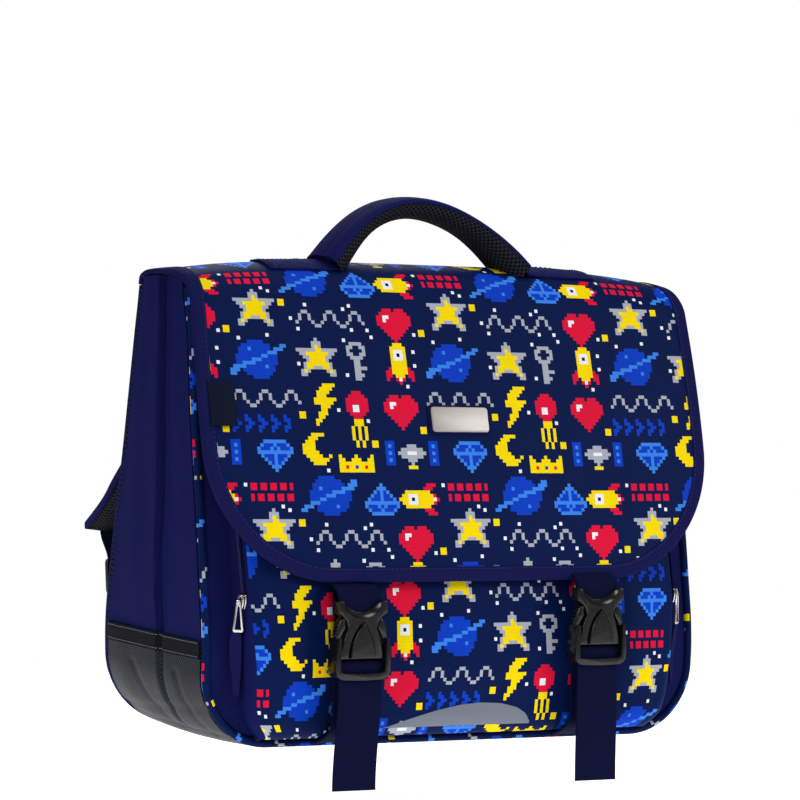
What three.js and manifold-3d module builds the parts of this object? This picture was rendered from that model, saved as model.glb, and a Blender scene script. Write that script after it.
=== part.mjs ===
// A child's school satchel worn as a backpack: a wedge-shaped cloth box with a rubberised boot,
// a printed flap over the top and front, three front pockets, two buckled closing straps,
// a padded carry handle and a pair of padded shoulder straps behind.
// Millimetres, +Z up. x runs across the bag, y from the front (negative) to the back, and the
// origin is under the crown of the carry handle, where a hand or a hook holds the bag up.
import * as THREE from 'three';
import Module from 'manifold-3d';
import { mergeVertices } from 'three/addons/utils/BufferGeometryUtils.js';

const wasm = await Module();
wasm.setup();

// Shell
const bodyWidth = 386;
const bodyHeight = 302;
const baseDepth = 152;
const topSetback = 45;
const cornerRadius = 50;
const bootHeight = 71;
const clothWall = 2;
const bootWall = 2.6;
const backPadding = 9;
const pipingWidth = 5.5;
const pleatDepth = 13;
const pleatWidth = 13;
const pleatPlace = 0.4;
const gussetBulge = 4;
const gussetFreeEdge = 7;

// Flap
const flapThickness = 3;
const flapRise = 20;
const flapHem = 111;
const flapReach = 19;
const flapFlare = 5;
const flapEdgeDroop = 9;
const flapCrown = 5;
const flapCornerRadius = 92;
const bindingWidth = 10;
const bindingThickness = 4.4;
const plateWidth = 44.6;
const plateHeight = 17.5;
const plateThickness = 1.2;
const plateRim = 1.5;
const plateBacking = 0.8;
const plateMiddle = 218;
const plateOffset = -3;
const tagWidth = 20;
const tagHeight = 30;
const tagThickness = 0.8;
const tagTop = 237;

// Front pockets
const pocketTop = 196;
const pocketDraft = 2.5;
const pocketGap = 9;
const pocketReach = 22;
const centrePocketWidth = 182;
const sidePocketWidth = 70;
const pocketFoot = pipingWidth + 1;
const reflectorWidth = 107;
const reflectorHeight = 18;
const reflectorThickness = 0.8;
const zipWidth = 6;
const zipThickness = 1;
const zipInset = 3.5;
const zipSliderHeight = 98;
const sliderSize = { across: 3.2, deep: 6.5, tall: 10 };
const pullerSize = { across: 1.4, deep: 4.6, tall: 21 };
const tabSize = { across: 1.3, deep: 7, tall: 44 };

// Closing straps and buckles
const strapPlace = 97;
const webbingWidth = 32;
const webbingThickness = 1.6;
const flapStrapLength = 42;
const tailEnd = -28;
const tailReach = 9;
const tailSway = 3;
const buckleTop = 100;
const buckleBottom = 46;
const buckleDepth = 10;
const buckleWidth = 37;
const buckleWaist = 21.6;
const buckleMouth = 33;
const lockWidth = 41;
const buckleStandOff = 27;
const lockBar = 3;

// Carry handle
const handleSpan = 150;
const handleRise = 47;
const handleLean = 15;
const handleSkew = -6;
const handleThickness = 15;
const handleDepth = 36;
const handlePlace = 59;
const handleEndLength = 42;
const handleEndThickness = 2.4;

// Shoulder straps
const padWidth = 56;
const padThickness = 12;
const padTopPlace = 46;
const shoulderWebWidth = 25;
const adjusterSize = { across: 33, deep: 4.5, tall: 26 };

const clearance = 0.3;

const halfWidth = bodyWidth / 2;
const panelHalfWidth = halfWidth - pipingWidth - clearance;
const sideLean = pipingWidth / 2 + clearance;
const cornerSteps = 6;

// Heights are shares of bodyHeight, setbacks of topSetback and depths of baseDepth
const frontProfile = [
  { height: 0, setback: 0 },
  { height: 0.24, setback: 0 },
  { height: 0.47, setback: 0.28 },
  { height: 0.71, setback: 0.6 },
  { height: 0.92, setback: 0.8 },
  { height: 1, setback: 1 },
];
const backProfile = [
  { height: 0, depth: 0.95 },
  { height: 0.24, depth: 1 },
  { height: 0.42, depth: 0.95 },
  { height: 0.63, depth: 0.87 },
  { height: 0.94, depth: 0.775 },
  { height: 1, depth: 0.75 },
];

// The flap from its back seam over the top: depths of baseDepth, rises of flapRise over bodyHeight
const flapOverTop = [
  { depth: 0.748, rise: 0.05 },
  { depth: 0.738, rise: 0.42 },
  { depth: 0.688, rise: 0.7 },
  { depth: 0.561, rise: 0.94 },
  { depth: 0.408, rise: 1 },
  { depth: 0.277, rise: 0.68 },
  { depth: 0.204, rise: 0.1 },
];
// And down the front: falls are shares of the way to the hem, reaches of flapReach
const flapDownFront = [
  { fall: 0.11, reach: -1.18 },
  { fall: 0.46, reach: -0.16 },
  { fall: 0.74, reach: 0.52 },
  { fall: 1, reach: 1 },
];

// Pocket faces: heights are shares of pocketTop, reaches of pocketReach before the bag's foot
const pocketProfile = [
  { height: 0, reach: 0.36 },
  { height: 0.08, reach: 0.8 },
  { height: 0.28, reach: 0.97 },
  { height: 0.48, reach: 0.74 },
  { height: 0.56, reach: 0.58 },
  { height: 0.78, reach: 0.04 },
  { height: 1, reach: -0.44 },
];

// The side pockets' outer edge: heights of pocketTop, widths of sidePocketWidth
const pocketEdge = [
  { height: 0.03, width: 0.7 },
  { height: 0.07, width: 0.86 },
  { height: 0.14, width: 0.92 },
  { height: 0.5, width: 1 },
  { height: 1, width: 1 },
];

// The pads' middle line: out is a share of bodyWidth, back is how many padThicknesses behind the
// back panel's foot line, and height a share of bodyHeight
const padRoute = [
  { out: padTopPlace / bodyWidth, back: -2, height: 0.76 },
  { out: 0.2, back: -1, height: 0.86 },
  { out: 0.3, back: -0.6, height: 0.9 },
  { out: 0.375, back: -0.3, height: 0.855 },
  { out: 0.392, back: -0.2, height: 0.75 },
  { out: 0.385, back: 0.3, height: 0.63 },
  { out: 0.395, back: 2.1, height: 0.52 },
  { out: 0.402, back: 4.4, height: 0.44 },
];

function lookUp(table, key, value, at) {
  const last = table.length - 1;
  for (let i = 0; i < last; i += 1) {
    const low = table[i];
    const high = table[i + 1];
    if (at <= high[key] || i === last - 1) {
      const share = THREE.MathUtils.clamp((at - low[key]) / (high[key] - low[key]), 0, 1);
      return THREE.MathUtils.lerp(low[value], high[value], share);
    }
  }
  return table[last][value];
}

function frontAt(z) {
  return topSetback * lookUp(frontProfile, 'height', 'setback', z / bodyHeight);
}

function backAt(z) {
  return baseDepth * lookUp(backProfile, 'height', 'depth', z / bodyHeight);
}

function steps(count, from = 0, to = 1) {
  return Array.from({ length: count + 1 }, (_, i) => from + ((to - from) * i) / count);
}

// A closed mesh from points and triangles, turned so that its faces point out
function closedMesh(points, triangles) {
  let volume = 0;
  for (const [a, b, c] of triangles) {
    volume += points[a].dot(new THREE.Vector3().crossVectors(points[b], points[c]));
  }
  const index = triangles.flatMap(([a, b, c]) => (volume > 0 ? [a, b, c] : [a, c, b]));
  const geometry = new THREE.BufferGeometry();
  geometry.setAttribute('position', new THREE.Float32BufferAttribute(points.flatMap((p) => [p.x, p.y, p.z]), 3));
  geometry.setIndex(index);
  geometry.computeVertexNormals();
  return geometry;
}

// A sheet with thickness: its two faces over the same grid, joined round the rim
function sheet(columns, rows, outer, inner) {
  const points = [];
  for (const face of [outer, inner]) {
    for (const v of rows) {
      for (const u of columns) {
        points.push(face(u, v));
      }
    }
  }
  const at = (face, j, i) => (face * rows.length + j) * columns.length + i;
  const triangles = [];
  const quad = (a, b, c, d) => triangles.push([a, b, c], [a, c, d]);
  const top = rows.length - 1;
  const right = columns.length - 1;
  for (let j = 0; j < top; j += 1) {
    for (let i = 0; i < right; i += 1) {
      quad(at(0, j, i), at(0, j, i + 1), at(0, j + 1, i + 1), at(0, j + 1, i));
      quad(at(1, j, i), at(1, j + 1, i), at(1, j + 1, i + 1), at(1, j, i + 1));
    }
    quad(at(0, j, 0), at(0, j + 1, 0), at(1, j + 1, 0), at(1, j, 0));
    quad(at(0, j + 1, right), at(0, j, right), at(1, j, right), at(1, j + 1, right));
  }
  for (let i = 0; i < right; i += 1) {
    quad(at(0, 0, i + 1), at(0, 0, i), at(1, 0, i), at(1, 0, i + 1));
    quad(at(0, top, i), at(0, top, i + 1), at(1, top, i + 1), at(1, top, i));
  }
  return closedMesh(points, triangles);
}

// A solid skinned over rings of points, closed by a fan at each end
function skinned(rings) {
  const count = rings[0].length;
  const points = rings.flat();
  const triangles = [];
  for (let k = 0; k < rings.length - 1; k += 1) {
    for (let i = 0; i < count; i += 1) {
      const here = k * count + i;
      const beside = k * count + ((i + 1) % count);
      triangles.push([here, beside, beside + count], [here, beside + count, here + count]);
    }
  }
  for (const end of [0, rings.length - 1]) {
    const middle = new THREE.Vector3();
    rings[end].forEach((p) => middle.add(p));
    points.push(middle.divideScalar(count));
    for (let i = 0; i < count; i += 1) {
      const here = end * count + i;
      const beside = end * count + ((i + 1) % count);
      triangles.push(end === 0 ? [points.length - 1, beside, here] : [points.length - 1, here, beside]);
    }
  }
  return closedMesh(points, triangles);
}

// A band of webbing: its middle line as [y, z] pairs, laid across x
function webbing(line, middle, width, thickness, sway = () => 0) {
  const rings = line.map(([y, z], i) => {
    const before = line[Math.max(i - 1, 0)];
    const after = line[Math.min(i + 1, line.length - 1)];
    const along = new THREE.Vector2(after[0] - before[0], after[1] - before[1]).normalize();
    const [offY, offZ] = [(-along.y * thickness) / 2, (along.x * thickness) / 2];
    const left = middle - width / 2 + sway(i / (line.length - 1));
    const right = left + width;
    return [
      new THREE.Vector3(left, y - offY, z - offZ),
      new THREE.Vector3(right, y - offY, z - offZ),
      new THREE.Vector3(right, y + offY, z + offZ),
      new THREE.Vector3(left, y + offY, z + offZ),
    ];
  });
  return skinned(rings);
}

function asSolid(geometry) {
  const bare = geometry.clone();
  for (const name of Object.keys(bare.attributes)) {
    if (name !== 'position') bare.deleteAttribute(name);
  }
  const merged = mergeVertices(bare);
  return new wasm.Manifold(
    new wasm.Mesh({
      numProp: 3,
      vertProperties: new Float32Array(merged.attributes.position.array),
      triVerts: new Uint32Array(merged.index.array),
    }),
  );
}

function asGeometry(solid) {
  const mesh = solid.getMesh();
  const geometry = new THREE.BufferGeometry();
  geometry.setAttribute('position', new THREE.BufferAttribute(new Float32Array(mesh.vertProperties), 3));
  geometry.setIndex(new THREE.BufferAttribute(new Uint32Array(mesh.triVerts), 1));
  geometry.computeVertexNormals();
  return geometry;
}

// A box between two corners
function block(low, high) {
  const box = new THREE.BoxGeometry(high[0] - low[0], high[1] - low[1], high[2] - low[2]);
  box.translate((low[0] + high[0]) / 2, (low[1] + high[1]) / 2, (low[2] + high[2]) / 2);
  return box;
}

const finishes = {
  navyCloth: { color: 0x23265f, roughness: 0.85 },
  printedCloth: { color: 0x0d1b4d, roughness: 0.8 },
  binding: { color: 0x20245c, roughness: 0.8 },
  rubberised: { color: 0x23252c, roughness: 0.6 },
  mesh: { color: 0x14141a, roughness: 0.95 },
  webbing: { color: 0x15173f, roughness: 0.85 },
  acetal: { color: 0x1a1a1d, roughness: 0.3 },
  nickel: { color: 0xcfc8c4, roughness: 0.3, metalness: 1 },
  reflective: { color: 0x80868f, roughness: 0.4, metalness: 0.3 },
};
const materials = Object.fromEntries(
  Object.entries(finishes).map(([name, finish]) => [name, new THREE.MeshStandardMaterial({ metalness: 0, ...finish })]),
);

const bag = new THREE.Group();

function add(name, geometry, finish, place = bag) {
  const mesh = new THREE.Mesh(geometry, materials[finish]);
  mesh.name = name;
  place.add(mesh);
  return mesh;
}

const sides = [
  { side: 'left', sign: -1 },
  { side: 'right', sign: 1 },
];

// The U that the boot, the piping and the front panel share: along is 0 at the left side's given
// height and 1 at the right side's, inset moves it towards the middle of the bag
function uStations(height, perCorner) {
  const stations = [];
  const turn = cornerRadius;
  stations.push({ sign: -1, angle: 0, up: height });
  if (height > turn * 2) stations.push({ sign: -1, angle: 0, up: (height + turn) / 2 });
  for (const angle of steps(perCorner, 0, Math.PI / 2)) stations.push({ sign: -1, angle, up: turn });
  for (const angle of steps(perCorner, Math.PI / 2, 0)) stations.push({ sign: 1, angle, up: turn });
  if (height > turn * 2) stations.push({ sign: 1, angle: 0, up: (height + turn) / 2 });
  stations.push({ sign: 1, angle: 0, up: height });
  return stations;
}

function uPoint(station, inset) {
  const radius = cornerRadius - inset;
  const x = station.sign * (halfWidth - cornerRadius + radius * Math.cos(station.angle));
  const z = station.up - radius * Math.sin(station.angle);
  return { x, z };
}

// Half width of a panel with the same rounded lower corners, at a height
function roundedHalfWidth(z, edge, foot) {
  const radius = cornerRadius - (halfWidth - edge);
  const drop = THREE.MathUtils.clamp((cornerRadius - z) / (cornerRadius - foot), 0, 1);
  return edge - radius * (1 - Math.sqrt(1 - drop * drop));
}

function cornerHeights(foot, perCorner) {
  return steps(perCorner, Math.PI / 2, 0).map((angle) => cornerRadius - (cornerRadius - foot) * Math.sin(angle));
}

// The heights where the front or the back bends, between two others
function bodyHeights(above, below = bodyHeight) {
  const bends = [...frontProfile, ...backProfile].map((row) => row.height * bodyHeight);
  const within = bends.filter((z) => z > above + 1 && z < below - 1).sort((a, b) => a - b);
  return within.filter((z, i) => i === 0 || z > within[i - 1] + 1);
}

// Panels of the shell

function frontPanel() {
  const foot = pipingWidth + clearance;
  const rows = [...cornerHeights(foot, cornerSteps), ...bodyHeights(cornerRadius), bodyHeight];
  const across = steps(6, -1, 1);
  const face = (inset) => (u, z) =>
    new THREE.Vector3(u * roundedHalfWidth(z, panelHalfWidth, foot), frontAt(z) + inset, z);
  return sheet(across, rows, face(0), face(clothWall));
}

function backPanel() {
  const foot = clearance;
  const rows = [...cornerHeights(foot, cornerSteps), ...bodyHeights(cornerRadius), bodyHeight - clearance];
  const across = steps(6, -1, 1);
  const face = (inset) => (u, z) =>
    new THREE.Vector3(u * roundedHalfWidth(z, halfWidth - clearance, foot), backAt(z) - inset, z);
  return sheet(across, rows, face(0), face(backPadding));
}

function piping() {
  const radius = pipingWidth / 2;
  const middle = radius;
  const sidesOfTube = 8;
  const heights = [...bodyHeights(cornerRadius + 1)];
  const left = heights.slice().reverse().map((up) => ({ sign: -1, angle: 0, up }));
  const right = heights.map((up) => ({ sign: 1, angle: 0, up }));
  const corner = uStations(bodyHeight, cornerSteps).filter((station) => station.up === cornerRadius);
  const route = [
    { sign: -1, angle: 0, up: bodyHeight },
    ...left,
    ...corner,
    ...right,
    { sign: 1, angle: 0, up: bodyHeight },
  ];
  const rings = route.map((station) =>
    Array.from({ length: sidesOfTube }, (_, i) => {
      const turn = (i / sidesOfTube) * Math.PI * 2;
      const { x, z } = uPoint(station, middle + radius * Math.cos(turn));
      return new THREE.Vector3(x, frontAt(z) + radius * Math.sin(turn), z);
    }),
  );
  return skinned(rings);
}

function bootFrontAt(z) {
  return frontAt(z) + sideLean;
}

function bootBackAt(z) {
  return backAt(z) - backPadding - clearance;
}

function boot() {
  const stations = uStations(bootHeight, cornerSteps);
  const columns = steps(stations.length - 1).map((_, i) => i);
  const rows = [0, 0.3, pleatPlace, 0.52, 0.78, 1];
  const face = (inset) => (i, depth) => {
    const { x, z } = uPoint(stations[i], inset + gussetPleat(depth, bootHeight) * bootPinch(stations[i]));
    const y = THREE.MathUtils.lerp(bootFrontAt(z), bootBackAt(z), depth);
    return new THREE.Vector3(x, y, z);
  };
  return sheet(columns, rows, face(0), face(bootWall));
}

// The pleat fades out of the boot towards the floor
function bootPinch(station) {
  return station.angle > 0 ? Math.max(0, 1 - station.angle / (Math.PI / 3)) * 0.6 : 0.7;
}

// How far the side wall stands in from its edges: a bulge on either side of the pleat
function gussetPleat(depth, z) {
  const sideDepth = backAt(z) - frontAt(z);
  const away = Math.abs(depth - pleatPlace) * sideDepth;
  const groove = pleatDepth * Math.max(0, 1 - away / (pleatWidth / 2 + 2));
  const swell = Math.sin(Math.PI * depth) * gussetBulge;
  return groove - swell * 0.5;
}

function gussetTopAt(depth) {
  const rise = flapRise * 0.62 * Math.sin(Math.PI * Math.min(depth * 1.05, 1));
  return bodyHeight - gussetFreeEdge + rise;
}

function gusset(sign) {
  const sideDepth = baseDepth - topSetback / 2;
  const lip = pleatWidth / 2 / sideDepth;
  const columns = [0, 0.16, pleatPlace - lip * 1.3, pleatPlace - lip * 0.3, pleatPlace + lip * 0.3, pleatPlace + lip * 1.3];
  columns.push(0.66, 0.85, 1);
  const top = gussetTopAt(0);
  const foot = bootHeight + clearance;
  const rows = [foot, ...bodyHeights(foot, top - 7), Infinity];
  const face = (inset) => (depth, height) => {
    const z = Math.min(height, gussetTopAt(depth));
    const y = THREE.MathUtils.lerp(bootFrontAt(z), bootBackAt(z), depth);
    return new THREE.Vector3(sign * (halfWidth - inset - gussetPleat(depth, z)), y, z);
  };
  return sheet(columns, rows, face(0), face(clothWall));
}

add('front_panel', frontPanel(), 'printedCloth');
add('back_panel', backPanel(), 'mesh');
add('piping_front', piping(), 'printedCloth');
add('base_boot', boot(), 'rubberised');
for (const { side, sign } of sides) add(`gusset_${side}`, gusset(sign), 'navyCloth');

// The flap's surface: x across, along its length from the back seam, lift off its outer face

const flapLine = new THREE.CatmullRomCurve3(
  [
    ...flapOverTop.map(({ depth, rise }) => [depth * baseDepth, bodyHeight + rise * flapRise]),
    ...flapDownFront.map(({ fall, reach }) => [-reach * flapReach, bodyHeight - fall * (bodyHeight - flapHem)]),
  ].map(([y, z]) => new THREE.Vector3(0, y, z)),
  false,
  'centripetal',
);
flapLine.arcLengthDivisions = 400;
const flapLength = flapLine.getLength();
const flapTopLength = flapLength * 0.36;

function flapAt(x, along, lift) {
  const share = THREE.MathUtils.clamp(along / flapLength, 0, 1);
  const point = flapLine.getPointAt(share);
  const way = flapLine.getTangentAt(share);
  const out = Math.min(Math.abs(x) / halfWidth, 1.1);
  const overTop = Math.sin(Math.PI * THREE.MathUtils.clamp(along / flapTopLength, 0, 1));
  const downFront = THREE.MathUtils.clamp((along - flapTopLength) / (flapLength - flapTopLength), 0, 1);
  point.z -= flapEdgeDroop * overTop * out ** 4;
  point.y -= flapCrown * downFront * (1 - out ** 2);
  return new THREE.Vector3(x, point.y + way.z * lift, point.z - way.y * lift);
}

// How far along the flap a height on its front lies
function flapAlong(z) {
  let low = flapTopLength;
  let high = flapLength;
  for (let i = 0; i < 40; i += 1) {
    const middle = (low + high) / 2;
    if (flapAt(0, middle, 0).z > z) low = middle;
    else high = middle;
  }
  return low;
}

function flapHalfWidth(along) {
  const flare = flapFlare * Math.sin(Math.PI * THREE.MathUtils.clamp(along / flapLength, 0, 1) ** 1.5);
  return halfWidth + flare;
}

// The flap's edge as seen when it is laid flat, moved in by an inset: the left side down, round the
// corner, along the hem and up the right side
function flapEdge(inset, perCorner = 7, perSide = 9) {
  const straight = flapLength - flapCornerRadius;
  const radius = flapCornerRadius - inset;
  const half = [];
  for (const along of steps(perSide, 0, straight)) half.push({ x: flapHalfWidth(along) - inset, along });
  const edge = flapHalfWidth(straight) - flapCornerRadius;
  for (const angle of steps(perCorner, 0, Math.PI / 2).slice(1)) {
    half.push({ x: edge + radius * Math.cos(angle), along: straight + radius * Math.sin(angle) });
  }
  return half;
}

function flap() {
  const inset = bindingWidth + clearance;
  const edge = flapEdge(inset);
  const across = steps(12, -1, 1);
  const face = (lift) => (u, i) => flapAt(u * edge[i].x, edge[i].along, lift);
  return sheet(across, edge.map((_, i) => i), face(0), face(-flapThickness));
}

function flapBinding() {
  const outer = flapEdge(0);
  const inner = flapEdge(bindingWidth);
  const whole = (half) => [
    ...half.map(({ x, along }) => ({ x: -x, along })),
    { x: 0, along: half[half.length - 1].along },
    ...half.slice().reverse(),
  ];
  const outside = whole(outer);
  const inside = whole(inner);
  const over = (bindingThickness - flapThickness) / 2;
  const face = (lift) => (i, share) => {
    const x = THREE.MathUtils.lerp(outside[i].x, inside[i].x, share);
    const along = THREE.MathUtils.lerp(outside[i].along, inside[i].along, share);
    return flapAt(x, along, lift);
  };
  return sheet(outside.map((_, i) => i), [0, 1], face(over), face(over - bindingThickness));
}

add('flap', flap(), 'printedCloth');
add('flap_binding', flapBinding(), 'binding');

// A flat piece laid on the front of the flap, with its middle at a place across and a height
function onFlap(x, z, lift) {
  const along = flapAlong(z);
  const place = new THREE.Group();
  const above = flapAt(x, along - 5, 0);
  const below = flapAt(x, along + 5, 0);
  const left = flapAt(x - 5, along, 0);
  const right = flapAt(x + 5, along, 0);
  place.position.copy(flapAt(x, along, lift));
  place.rotation.order = 'ZXY';
  place.rotation.x = Math.atan2(above.y - below.y, above.z - below.z) * -1;
  place.rotation.z = Math.atan2(right.y - left.y, right.x - left.x);
  bag.add(place);
  return place;
}

// The metal plate on a thin cloth backing, and the plain cloth tag inside the left binding
const seatLift = clearance + 0.15;
const backingPlace = onFlap(plateOffset, plateMiddle, seatLift + plateBacking / 2);
add(
  'plate_backing',
  new THREE.BoxGeometry(plateWidth + 2 * plateRim, plateBacking, plateHeight + 2 * plateRim),
  'binding',
  backingPlace,
);
const platePlace = onFlap(plateOffset, plateMiddle, seatLift + plateBacking + clearance + plateThickness / 2);
add('plate', new THREE.BoxGeometry(plateWidth, plateThickness, plateHeight), 'nickel', platePlace);

function flapTag() {
  const top = flapAlong(tagTop);
  const outer = flapHalfWidth(top) - bindingWidth - 1;
  const columns = [-outer, -outer + tagWidth];
  const rows = steps(3, top, top + tagHeight);
  const face = (lift) => (x, along) => flapAt(x, along, lift);
  return sheet(columns, rows, face(clearance + tagThickness), face(clearance));
}
add('flap_tag', flapTag(), 'binding');

// Front pockets: pans of cloth, open towards the front panel

const pocketColumnsCentre = steps(6, -1, 1);
const sidePocketInner = centrePocketWidth / 2 + pocketGap;

const pockets = [
  { name: 'pocket_left', inner: -sidePocketInner, outer: -(sidePocketInner + sidePocketWidth) },
  { name: 'pocket_centre', inner: -centrePocketWidth / 2, outer: centrePocketWidth / 2 },
  { name: 'pocket_right', inner: sidePocketInner, outer: sidePocketInner + sidePocketWidth },
];

function pocketFaceAt(z) {
  return -pocketReach * lookUp(pocketProfile, 'height', 'reach', z / pocketTop);
}

function pocketEdgeShare(z) {
  return lookUp(pocketEdge, 'height', 'width', z / pocketTop);
}

function pocket({ inner, outer }) {
  const isSide = inner * outer > 0;
  const left = Math.min(inner, outer);
  const right = Math.max(inner, outer);
  const across = [
    { share: 0, deep: 0 },
    { share: 0, deep: 1 },
    { share: 0.12, deep: 1.06 },
    { share: 0.5, deep: 1.14 },
    { share: 0.88, deep: 1.06 },
    { share: 1, deep: 1 },
    { share: 1, deep: 0 },
  ];
  const faceFoot = pocketFoot + pocketDraft;
  const tables = [...pocketProfile, ...pocketEdge];
  const bends = [...tables.map((row) => row.height * pocketTop), ...bodyHeights(0, pocketTop)];
  const sorted = bends.filter((z) => z > faceFoot + 1 && z <= pocketTop).sort((a, b) => a - b);
  const heights = sorted.filter((z, i) => i === 0 || z > sorted[i - 1] + 1);
  const rows = [
    { z: pocketFoot, deep: 0 },
    { z: faceFoot, deep: 1 },
    ...heights.map((z) => ({ z, deep: 1 })),
    { z: pocketTop + pocketDraft, deep: 0 },
  ];
  const face = (wall) => (column, row) => {
    const { share, deep } = across[column];
    const z = THREE.MathUtils.clamp(rows[row].z, pocketFoot + wall, pocketTop + pocketDraft - wall);
    const draft = rows[row].deep * deep === 0 ? 0 : pocketDraft;
    const taper = isSide ? pocketEdgeShare(z) : 1;
    const low = left < 0 && isSide ? right + (left - right) * taper : left;
    const high = right > 0 && isSide ? left + (right - left) * taper : right;
    const from = low + draft + wall;
    const to = high - draft - wall;
    const back = frontAt(z) - clearance;
    const bulge = rows[row].deep * deep;
    const front = bulge === 0 ? back : back + (pocketFaceAt(z) - back) * bulge + wall;
    return new THREE.Vector3(THREE.MathUtils.lerp(from, to, share), front, z);
  };
  return sheet(across.map((_, i) => i), rows.map((_, i) => i), face(0), face(clothWall));
}

for (const shape of pockets) add(shape.name, pocket(shape), 'printedCloth');

// Zip, slider, puller and cloth tab on each side pocket's outer wall

// How far out a side pocket's drafted wall stands at a height and a depth
function pocketWallAt(z, y) {
  const back = frontAt(z) - clearance;
  const forward = THREE.MathUtils.clamp((back - y) / (back - pocketFaceAt(z)), 0, 1);
  return sidePocketInner + sidePocketWidth * pocketEdgeShare(z) - pocketDraft * forward;
}

function zip(sign) {
  const zipFoot = zipSliderHeight + sliderSize.tall / 2 + clearance;
  const zipHead = pocketTop - pocketDraft * 2;
  const bends = pocketProfile.map((row) => row.height * pocketTop);
  const rows = [zipFoot, ...bends.filter((z) => z > zipFoot + 1 && z < zipHead - 1), zipHead];
  const face = (lift) => (share, z) => {
    const y = pocketFaceAt(z) + zipInset + share * zipWidth;
    return new THREE.Vector3(sign * (pocketWallAt(z, y) + lift), y, z);
  };
  return sheet([0, 1], rows, face(clearance + zipThickness), face(clearance));
}

for (const { side, sign } of sides) {
  const y = pocketFaceAt(zipSliderHeight) + zipInset + zipWidth / 2;
  const wall = pocketWallAt(zipSliderHeight, y + sliderSize.deep / 2) + clearance;
  add(`zip_${side}`, zip(sign), 'webbing');
  const out = (low, high) => [Math.min(sign * low, sign * high), Math.max(sign * low, sign * high)];
  const [sliderLow, sliderHigh] = out(wall, wall + sliderSize.across);
  const sliderFoot = zipSliderHeight - sliderSize.tall / 2;
  const slider = block(
    [sliderLow, y - sliderSize.deep / 2, sliderFoot],
    [sliderHigh, y + sliderSize.deep / 2, sliderFoot + sliderSize.tall],
  );
  add(`zip_slider_${side}`, slider, 'nickel');
  const pullerWall = wall + sliderSize.across + clearance;
  const [pullerLow, pullerHigh] = out(pullerWall, pullerWall + pullerSize.across);
  const pullerTop = sliderFoot + sliderSize.tall * 0.6;
  const puller = block(
    [pullerLow, y - pullerSize.deep / 2, pullerTop - pullerSize.tall],
    [pullerHigh, y + pullerSize.deep / 2, pullerTop],
  );
  add(`zip_puller_${side}`, puller, 'nickel');
  const tabTop = pullerTop - pullerSize.tall - clearance;
  const tab = block(
    [pullerLow, y - tabSize.deep / 2, tabTop - tabSize.tall],
    [pullerHigh, y + tabSize.deep / 2, tabTop],
  );
  add(`zip_tab_${side}`, tab, 'binding');
}

// The reflective crescent at the foot of the centre pocket

const centrePocketDeepest = 1.14;

function centrePocketAt(x, z) {
  const half = centrePocketWidth / 2 - pocketDraft;
  const stops = [
    { out: 0, deep: centrePocketDeepest },
    { out: 0.76, deep: 1.06 },
    { out: 1, deep: 1 },
  ];
  const back = frontAt(z) - clearance;
  return back + (pocketFaceAt(z) - back) * lookUp(stops, 'out', 'deep', Math.abs(x) / half);
}

function reflector() {
  const foot = pocketFoot + pocketDraft + 2;
  const columns = steps(10, -1, 1);
  const face = (lift) => (u, share) => {
    const x = (u * reflectorWidth) / 2;
    const crest = reflectorHeight * (0.12 + 0.88 * Math.cos((Math.PI / 2) * (u * 0.98)) ** 0.8);
    const z = foot + share * crest;
    return new THREE.Vector3(x, centrePocketAt(x, z) - lift, z);
  };
  const seat = clearance + 0.6;
  return sheet(columns, steps(5), face(seat + reflectorThickness), face(seat));
}
add('reflector', reflector(), 'reflective');

// Closing straps

const buckleBack = -buckleStandOff;
const buckleFront = buckleBack - buckleDepth;
const buckleSlot = buckleBack - 3.4;
const slotReach = 9;
const barBack = buckleBack - 2.6;
const barMiddle = [barBack - lockBar / 2, buckleBottom + 9];

function flapStrap(sign) {
  const from = flapHem + flapStrapLength - 12;
  const line = steps(3, from, flapHem).map((z) => {
    const p = flapAt(strapPlace, flapAlong(z), -(bindingThickness + flapThickness) / 2 - clearance * 4 - webbingThickness / 2);
    return [p.y, p.z];
  });
  const last = line[line.length - 1];
  line.push([(last[0] + buckleSlot) / 2, (last[1] + buckleTop) / 2]);
  line.push([buckleSlot, buckleTop + 1], [buckleSlot, buckleTop - slotReach + clearance]);
  return webbing(line, sign * strapPlace, webbingWidth, webbingThickness);
}

function buckleOutline() {
  const shape = new THREE.Shape();
  const top = buckleWidth / 2;
  const waist = buckleWaist / 2;
  const mouth = buckleMouth / 2;
  const foot = buckleBottom + 13.5;
  shape.moveTo(-mouth, foot);
  shape.lineTo(mouth, foot);
  shape.quadraticCurveTo(mouth - 1, buckleBottom + 22, waist, buckleBottom + 34);
  shape.quadraticCurveTo(waist + 0.5, buckleBottom + 41, top, buckleTop - 8);
  shape.lineTo(top, buckleTop);
  shape.lineTo(top - 4, buckleTop);
  shape.quadraticCurveTo(0, buckleTop - 8, -top + 4, buckleTop);
  shape.lineTo(-top, buckleTop);
  shape.lineTo(-top, buckleTop - 8);
  shape.quadraticCurveTo(-waist - 0.5, buckleBottom + 41, -waist, buckleBottom + 34);
  shape.quadraticCurveTo(-mouth + 1, buckleBottom + 22, -mouth, foot);
  return shape;
}

// A shape drawn across x and up z, given depth from one y to a smaller one
function plateFrom(shape, backY, frontY, curveSegments = 5) {
  const geometry = new THREE.ExtrudeGeometry(shape, { depth: backY - frontY, bevelEnabled: false, curveSegments });
  geometry.rotateX(Math.PI / 2);
  geometry.translate(0, backY, 0);
  return geometry;
}

function buckleFemale(middle) {
  const body = asSolid(plateFrom(buckleOutline(), buckleBack, buckleFront));
  const half = webbingWidth / 2 + 0.5;
  const deep = webbingThickness / 2 + 0.5;
  const slot = block([-half, buckleSlot - deep, buckleTop - slotReach], [half, buckleSlot + deep, buckleTop + 1]);
  return asGeometry(body.subtract(asSolid(slot))).translate(middle, 0, 0);
}

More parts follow.
